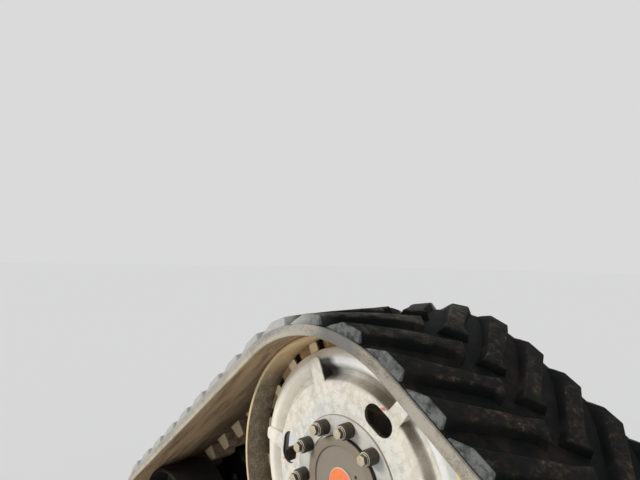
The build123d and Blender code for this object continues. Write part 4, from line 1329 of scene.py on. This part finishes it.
@dataclass
class Belt:
    """The rubber belt: carcass, tread lugs and drive lugs, modelled straight and wrapped round the wheels."""

    layout: Layout
    path: BeltPath = field(default_factory=BeltPath)
    thick: float = 0.036
    edge_round: float = 0.004
    seam: float = 0.0001
    steps: int = 360
    tread_height: float = 0.032
    tread_shift: float = -0.014
    tread_skew: float = 0.165
    tread_inset: float = 0.009
    tread_chamfer: float = 0.021
    tread_middle: float = 0.038
    tread_slant: float = 1.18
    tread_toe: float = 0.003
    tread_blank: float = 0.1
    stations: tuple[LugStation, ...] = (
        LugStation(0.0, 0.0, 0.098, 0.046, 0.032),
        LugStation(0.23, 0.21, 0.062, 0.042, 0.031),
        LugStation(0.70, 0.65, 0.040, 0.040, 0.028),
        LugStation(1.0, 1.0, 0.038, 0.038, 0.027),
    )
    cuts: tuple[float, ...] = (0.0, 0.12, 0.23, 0.46, 0.70, 0.85)
    tooth_height: float = 0.068
    tooth_foot: float = 0.086
    tooth_top: float = 0.054
    tooth_width: float = 0.150
    tooth_top_width: float = 0.122
    root: float = 0.006
    lug_round: float = 0.0045
    tooth_round: float = 0.008
    lug_facets: int = 3
    tread_corner: float = 24.0
    tooth_corner: float = 25.0
    smooth_angle: float = 40.0
    slack: float = 0.001

    @classmethod
    def finish(cls, layout: Layout) -> BeltFinish:
        """Finish whose borders follow the belt's own sizes."""
        crown, half = cls.thick + cls.tread_height, layout.belt_half
        return BeltFinish(cls.thick, crown, half - cls.tread_chamfer, half - cls.tread_inset)

    def build(self, finishes: Finishes) -> None:
        """Model the belt and put it in place of its CAD node.

        Args:
            finishes: Materials by slot.
        """
        place = self.path.wrap()
        pitches = self.path.pitches()
        pitch = self.path.length() / pitches
        start = self.path.legs()[0][3] / 2
        carcass = self._wrapped(self._carcass(), 0.0, place)
        Bench.outward(carcass, self.seam)
        parts = [carcass]
        tread = {side: self._tread_lug(side) for side in Side}
        tooth = self._drive_lug()
        for i in range(pitches):
            along = start + i * pitch
            parts.append(self._wrapped(Bench.copy(tooth, "drive_lug"), along, place))
            for side, lug in tread.items():
                there = along + self.tread_shift + (pitch / 2 if side is Side.INBOARD else 0.0)
                parts.append(self._wrapped(Bench.copy(lug, "tread_lug"), there, place))
        for model in (*tread.values(), tooth):
            bpy.data.objects.remove(model)
        belt = Bench.join(parts, "belt_moulding")
        Bench.smooth(belt, self.smooth_angle)
        mount(belt, TRACK, "belt_rubber", finishes["belt_rubber"], "rubber_belt")

    def _carcass(self) -> Piece:
        """Model the straight carcass of the belt's whole length, in steps along it.

        Returns:
            The carcass, open at both ends.
        """
        length, half = self.path.length(), self.layout.belt_half
        body = Bench.block("belt_carcass", (length, 2 * half, self.thick), (length / 2, 0.0, self.thick / 2))
        Bench.pick(body, lambda centre, normal: abs(normal.x) > SQUARE)
        bpy.ops.mesh.delete(type="FACE")
        Bench.close()
        sheet = bmesh.new()
        sheet.from_mesh(body.data)

        def lengthwise() -> list[bmesh.types.BMEdge]:
            """Edges that run the length of the belt."""
            return [e for e in sheet.edges if abs(e.verts[0].co.x - e.verts[1].co.x) > length / 2]

        bmesh.ops.bevel(
            sheet, geom=lengthwise(), offset=self.edge_round, segments=2, profile=0.5, affect="EDGES"
        )
        bmesh.ops.subdivide_edges(sheet, edges=lengthwise(), cuts=self.steps - 1, use_grid_fill=True)
        sheet.to_mesh(body.data)
        sheet.free()
        return body

    def _station(self, share: float) -> LugStation:
        """Find the section of the tread lug at any share of the way in.

        Args:
            share: The share, from 0 at its outer end.

        Returns:
            The section.
        """
        for before, after in zip(self.stations, self.stations[1:]):
            if share <= after.share + self.slack:
                return before.towards(after, max(share, 0.0))
        return self.stations[-1]

    def _tread_lug(self, side: Side) -> Piece:
        """Model a straight, skewed tread lug on one half of the belt, its outer end sloping to a low toe.

        Args:
            side: The half that it lies on.

        Returns:
            The lug, the middle of its crest's outer end on x = 0.
        """
        low, high = self.thick - self.root, self.thick + self.tread_height
        edge = self.layout.belt_half - self.tread_inset
        shoulder = self.layout.belt_half - self.tread_chamfer
        span = shoulder - self.tread_middle
        middle = ((edge + self.tread_middle) / 2, (low + high) / 2)
        size = (self.tread_blank, edge - self.tread_middle, high - low)
        lug = Bench.block("tread_lug", size, (0.0, *middle))
        sheet = bmesh.new()
        sheet.from_mesh(lug.data)
        for share in self.cuts:
            whole = sheet.verts[:] + sheet.edges[:] + sheet.faces[:]
            cut = (0.0, shoulder - span * share, 0.0)
            bmesh.ops.bisect_plane(sheet, geom=whole, plane_co=cut, plane_no=(0, 1, 0))
        for vertex in sheet.verts:
            if vertex.co.y > edge - self.slack and vertex.co.z > low + self.slack:
                vertex.co.z = self.thick + self.tread_toe
            share = (shoulder - vertex.co.y) / span
            section = self._station(share)
            rise = (vertex.co.z - low) / (high - low)
            foot = section.ahead if vertex.co.x > 0 else -section.behind
            crest = math.copysign(section.crest, vertex.co.x)
            reach = foot + (crest - foot) * rise
            if share > 1.0 - self.slack:
                vertex.co.y += self.tread_slant * (reach - (section.ahead - section.behind) / 2)
            vertex.co.x = self.tread_skew * section.skew + reach
            vertex.co.y *= side.value
        sheet.to_mesh(lug.data)
        sheet.free()
        lug.data.update()
        Bench.outward(lug)
        return Bench.bevel(lug, self.lug_round, self.lug_facets, self.tread_corner)

    def _drive_lug(self) -> Piece:
        """Model a straight drive lug on the inner face, its sides drawn in towards the top.

        Returns:
            The lug.
        """
        low, high = self.root, -self.tooth_height
        size = (self.tooth_foot, self.tooth_width, low - high)
        lug = Bench.block("drive_lug", size, (0.0, 0.0, (low + high) / 2))
        Bench.pick(lug, lambda centre, normal: abs(centre.z - high) < self.slack)
        shares = (self.tooth_top / self.tooth_foot, self.tooth_top_width / self.tooth_width, 1.0)
        bpy.ops.transform.resize(value=shares)
        Bench.close()
        return Bench.bevel(lug, self.tooth_round, self.lug_facets, self.tooth_corner)

    def _wrapped(self, piece: Piece, shift: float, place: Course) -> Piece:
        """Wrap a straight piece round the wheels and keep its straight place as attributes.

        Args:
            piece: Piece with x along the belt, y across it and z outwards.
            shift: Distance along the belt.
            place: Mapping from the straight belt to its course.

        Returns:
            The wrapped piece.
        """
        mesh = piece.data
        stored: dict[str, list[float]] = {"along": [], "across": [], "height": []}
        for vertex in mesh.vertices:
            x, y, z = vertex.co
            for values, value in zip(stored.values(), (x + shift, y, z)):
                values.append(value)
            px, pz = place(x + shift, z)
            vertex.co = (px, self.layout.belt_y + y, pz)
        for name, values in stored.items():
            mesh.attributes.new(name, "FLOAT", "POINT").data.foreach_set("value", values)
        mesh.update()
        return piece


# Wheels, frame and drive


@dataclass(frozen=True)
class Softened:
    """A CAD node whose edges are rounded for its looks, with its finish where that isn't its slot's own."""

    node: str
    width: float
    finish: str = ""
    body: str = TRACK


class Metalwork:
    """The wheels, the track frame and the final drive, with rounded edges."""

    PIECES: tuple[Softened, ...] = (
        Softened("drive_wheel_disc", 0.003),
        Softened("drive_ring_outboard", 0.0015),
        Softened("drive_ring_inboard", 0.0015),
        Softened("drive_bars", 0.002),
        Softened("wheel_clamp_ring", 0.0008, "clamp_paint"),
        Softened("wheel_hub", 0.002),
        Softened("hub_cover", 0.0012),
        Softened("hub_badge", 0.0006),
        Softened("hub_plug", 0.0004, "sleeve_steel"),
        Softened("bolt_sleeves", 0.0008),
        Softened("bolt_washers", 0.0006, "washer_steel"),
        Softened("wheel_bolts", 0.0012),
        Softened("frame_saddle", 0.003),
        Softened("saddle_stops", 0.002),
        Softened("frame_cross_members", 0.002),
        Softened("frame_beam", 0.003),
        Softened("idler_yoke", 0.003),
        Softened("tension_cylinder", 0.0015),
        Softened("tension_pins", 0.0015),
        Softened("front_idler_wheels", 0.002, "front_idler_wheels"),
        Softened("rear_idler_wheels", 0.002, "rear_idler_wheels"),
        Softened("final_drive_housing", 0.003, body=DRIVE),
    )

    def build(self, finishes: Finishes) -> None:
        """Round the listed nodes and dress all the others.

        Args:
            finishes: Materials by slot or node.
        """
        slots = {part["node"]: part["material_slot"] for part in frame["record"]["subparts"]}
        for item in self.PIECES:
            slot = slots[item.node]
            piece = Bench.softened(item.node, item.width)
            mount(piece, item.body, slot, finishes[item.finish or slot], item.node)
        rounded = {item.node for item in self.PIECES} | {"rubber_belt"}
        for name, node in frame["nodes"].items():
            if name in rounded:
                continue
            node.data.materials.clear()
            node.data.materials.append(finishes[name if name.endswith("_wheels") else slots[name]])
            log.info("%s keeps its shape", name)


@dataclass
class PackedSoil:
    """Dried soil between the drive bars, just behind their outer ends, with a pocket beside each bar."""

    outer: float = 0.4696
    inner: float = 0.4322
    back: float = 0.014
    set_back: float = 0.0045
    sides: int = 320
    bars: int = 20
    bar_angle: float = 99.764
    pocket: Span = (11.0, 15.4)
    pocket_depth: float = 0.008
    rough: float = 0.0022
    lumps: float = 60.0
    crumbs: float = 160.0
    divisions: int = 3
    smooth_angle: float = 50.0
    slack: float = 1e-4

    def build(self, finishes: Finishes) -> None:
        """Model the ring of soil and put it on the wheel.

        Args:
            finishes: Materials by slot.
        """
        low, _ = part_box("drive_bars")
        front = low.y + self.set_back
        middle = (0.0, front + self.back / 2, 0.0)
        ring = Bench.bar("packed_soil", self.outer, self.back, middle, Side.OUTBOARD, self.sides)
        Bench.pick(ring, lambda centre, normal: abs(normal.y) > SQUARE)
        bpy.ops.mesh.inset(thickness=self.outer - self.inner, depth=0.0)
        bpy.ops.mesh.delete(type="FACE")
        bpy.ops.mesh.select_mode(type="EDGE")
        sheet = bmesh.from_edit_mesh(ring.data)
        for edge in sheet.edges:
            edge.select_set(edge.is_boundary)
        bmesh.update_edit_mesh(ring.data)
        bpy.ops.mesh.bridge_edge_loops()
        Bench.close()
        Bench.outward(ring)
        self._roughen(ring, front)
        mount(Bench.smooth(ring, self.smooth_angle), TRACK, "bar_steel", finishes["packed_soil"])

    def _roughen(self, ring: Piece, front: float) -> None:
        """Divide the front face and make it lumpy, sunk in at the pockets.

        Args:
            ring: The ring of soil.
            front: Its front plane.
        """
        Bench.pick(ring, lambda centre, normal: normal.y < -SQUARE)
        bpy.ops.mesh.subdivide(number_cuts=self.divisions)
        Bench.close()
        sheet = bmesh.new()
        sheet.from_mesh(ring.data)
        step, middle = 360.0 / self.bars, sum(self.pocket) / 2
        for place in (v.co for v in sheet.verts if abs(v.co.y - front) < self.slack):
            phase = (math.degrees(math.atan2(place.z, place.x)) - self.bar_angle) % step
            sunk = max(0.0, 1.0 - abs(phase - middle) / (self.pocket[1] - middle))
            lump = noise.noise(place * self.lumps) + 0.5 * noise.noise(place * self.crumbs)
            place.y += self.rough * lump + self.pocket_depth * sunk
        sheet.to_mesh(ring.data)
        sheet.free()


@dataclass(frozen=True)
class PackedFinish:
    """Brown dried soil, with black painted shade in the pockets beside the bars."""

    angle: float = PackedSoil.bar_angle
    bars: int = PackedSoil.bars
    pocket: Span = PackedSoil.pocket
    name: str = "packed soil"
    soil: Colour = (0.430, 0.292, 0.148)
    dark: Colour = (0.170, 0.112, 0.058)
    # Painted shade in the pockets.
    shade_black: Colour = (0.008, 0.006, 0.004)

    def build(self) -> Material:
        """Build the finish.

        Returns:
            The material.
        """
        sheet = Sheet(self.name)
        patchy = sheet.noise(30.0, 6.0, 0.72)
        fine = sheet.noise(200.0, 5.0, 0.72)
        phase = (sheet.z.angle(sheet.x) - self.angle) % (360.0 / self.bars)
        # Painted shade, black, in the pockets beside the bars.
        sunk = phase.band(*self.pocket, 0.9)
        colour = sheet.blend(self.soil, self.dark, (patchy * 0.6 + fine * 0.4).rise(0.42, 0.62) * 0.8)
        colour = sheet.blend(colour, self.shade_black, sunk)
        sheet.relief(fine * 0.5 + patchy * 0.5, 0.0012)
        return sheet.close(colour, 0.92, 0.0, 0.1)


@dataclass
class CapFittings:
    """Hexagon bolts and a grease nipple on each cap of the idlers and rollers.

    A nipple's steps are how far each reaches out and the share of its width that it leaves.
    """

    count: int = 6
    first_turn: float = 0.25
    head: float = 0.0065
    head_sides: int = 6
    head_depth: float = 0.005
    head_stand: float = 0.0015
    head_round: float = 0.0008
    inset: float = 0.020
    nipple: float = 0.0050
    nipple_sides: int = 12
    nipple_length: float = 0.0075
    nipple_stand: float = 0.002
    nipple_slack: float = 0.0002
    nipple_steps: tuple[Span, ...] = ((0.0015, 0.62), (0.0015, 1.0), (0.0010, 0.7))

    def build(self, finishes: Finishes) -> None:
        """Set bolts and nipples on every cap.

        Args:
            finishes: Materials by slot.
        """
        for name in sorted(n for n in frame["nodes"] if n.endswith("_caps")):
            low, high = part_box(name)
            x, z = (low.x + high.x) / 2, (low.z + high.z) / 2
            circle = (high.x - low.x) / 2 - self.inset
            bolts, nipples = [], []
            for side, face in ((Side.OUTBOARD, low.y), (Side.INBOARD, high.y)):
                stand = face + side.value * self.head_stand
                for i in range(self.count):
                    turn = 2 * math.pi * (i + self.first_turn) / self.count
                    spot = (x + circle * math.cos(turn), stand, z + circle * math.sin(turn))
                    head = Bench.bar("cap_bolt", self.head, self.head_depth, spot, side, self.head_sides)
                    bolts.append(head)
                nipples.append(self._nipple((x, face, z), side))
            group = Bench.bevel(Bench.join(bolts, name + "_bolts"), self.head_round)
            mount(Bench.smooth(group), TRACK, "bolt_zinc", finishes["bolt_zinc"])
            group = Bench.join(nipples, name + "_nipples")
            mount(Bench.smooth(group), TRACK, "bolt_zinc", finishes["shaft_steel"])

    def _nipple(self, seat: Triple, side: Side) -> Piece:
        """Model a grease nipple: a round foot with a waisted tip.

        Args:
            seat: Middle of the cap's face.
            side: Way that it faces.

        Returns:
            The nipple.
        """
        x, face, z = seat
        out = side.value
        middle = (x, face + out * self.nipple_stand, z)
        tip = Bench.bar("nipple", self.nipple, self.nipple_length, middle, side, self.nipple_sides)
        end = face + out * (self.nipple_stand + self.nipple_length / 2)
        for reach, share in self.nipple_steps:
            Bench.pick(tip, lambda centre, normal: abs(centre.y - end) < self.nipple_slack)
            bpy.ops.mesh.extrude_region_move(TRANSFORM_OT_translate={"value": (0.0, out * reach, 0.0)})
            bpy.ops.transform.resize(value=(share, 1.0, share), center_override=seat)
            Bench.close()
            end += out * reach
        return tip


# Studio


@dataclass(frozen=True)
class FarLamp:
    """A broad lamp far away, as even over the whole unit as daylight."""

    name: str
    towards: Triple
    strength: float
    spread: float
    colour: Colour

    def build(self) -> None:
        """Set the lamp up."""
        data = bpy.data.lights.new(self.name, "SUN")
        data.energy = self.strength
        data.angle = math.radians(self.spread)
        data.color = self.colour
        lamp = bpy.data.objects.new(self.name, data)
        lamp.matrix_world = Vector(self.towards).to_track_quat("Z", "Y").to_matrix().to_4x4()
        bpy.context.scene.collection.objects.link(lamp)


@dataclass
class Studio:
    """Pale floor, pale surroundings and soft lamps."""

    layout: Layout
    floor_size: float = 240.0
    floor_colour: Colour = (0.90, 0.90, 0.90)
    floor_roughness: float = 0.95
    backdrop_colour: Colour = (0.70, 0.70, 0.70)
    sky_colour: Colour = (0.95, 0.97, 1.0)
    sky_strength: float = 0.52
    lamps: tuple[FarLamp, ...] = (
        FarLamp("far key", (-0.42, -0.82, 0.39), 1.95, 16.0, (1.0, 0.965, 0.91)),
        FarLamp("far fill", (0.36, -0.93, 0.06), 0.50, 50.0, (1.0, 0.97, 0.92)),
    )

    def build(self) -> None:
        """Lay the floor, set the surroundings and hang the lamps."""
        bpy.ops.mesh.primitive_plane_add(size=self.floor_size, location=(0, 0, self.layout.ground_z))
        floor = Bench.settle("floor")
        sheet = Sheet("studio floor")
        floor.data.materials.append(sheet.close(self.floor_colour, self.floor_roughness, 0.0, 0.0))
        self._surroundings()
        for lamp in self.lamps:
            lamp.build()
        bpy.context.scene.view_settings.view_transform = "Standard"

    def _surroundings(self) -> None:
        """Light evenly from all round, with a pale tone behind the object and in its reflections."""
        world = bpy.context.scene.world or bpy.data.worlds.new("studio")
        bpy.context.scene.world = world
        world.use_nodes = True
        board = Board(world.node_tree)
        board.tree.nodes.clear()
        kind = "ShaderNodeBackground"
        light = board.node(kind, inputs={"Color": self.sky_colour, "Strength": self.sky_strength})
        seen = board.node(kind, inputs={"Color": self.backdrop_colour, "Strength": 1.0})
        rays = board.node("ShaderNodeLightPath").outputs
        shown = Signal(board, rays["Is Camera Ray"])
        for other in ("Is Glossy Ray", "Is Transmission Ray"):
            shown = shown.most(Signal(board, rays[other]))
        mixed = board.node("ShaderNodeMixShader", inputs={0: shown, 1: light.outputs[0], 2: seen.outputs[0]})
        board.node("ShaderNodeOutputWorld", inputs={"Surface": mixed.outputs[0]})


@dataclass(frozen=True)
class PhotoCamera:
    """Camera at the place from which the unit is seen."""

    place: Triple = (1.0656, -1.8375, 0.7183)
    heading: float = -46.257
    elevation: float = 2.601
    roll: float = 1.0
    lens: float = 26.428
    sensor: float = 36.0
    near: float = 0.05

    def build(self) -> None:
        """Set up the camera."""
        heading, rise, roll = (math.radians(a) for a in (self.heading, self.elevation, self.roll))
        level_share = math.cos(rise)
        ahead = Vector((math.sin(heading) * level_share, math.cos(heading) * level_share, math.sin(rise)))
        level = Vector((math.cos(heading), -math.sin(heading), 0.0))
        above = level.cross(ahead)
        right = level * math.cos(roll) + above * math.sin(roll)
        up = above * math.cos(roll) - level * math.sin(roll)
        data = bpy.data.cameras.new("camera")
        data.sensor_fit = "HORIZONTAL"
        data.sensor_width = self.sensor
        data.lens = self.lens
        data.clip_start = self.near
        camera = bpy.data.objects.new("camera", data)
        turned = Matrix((right, up, -ahead)).transposed().to_4x4()
        camera.matrix_world = Matrix.Translation(self.place) @ turned
        bpy.context.scene.collection.objects.link(camera)
        bpy.context.scene.camera = camera


def main() -> None:
    """Build the looks of the unit."""
    logging.basicConfig(level=logging.INFO, format="%(name)s: %(message)s")
    layout = Layout.read()
    finishes = Finishes(layout)
    Belt(layout).build(finishes)
    Metalwork().build(finishes)
    PackedSoil().build(finishes)
    CapFittings().build(finishes)
    Studio(layout).build()
    PhotoCamera().build()


if __name__ == "__main__":
    main()
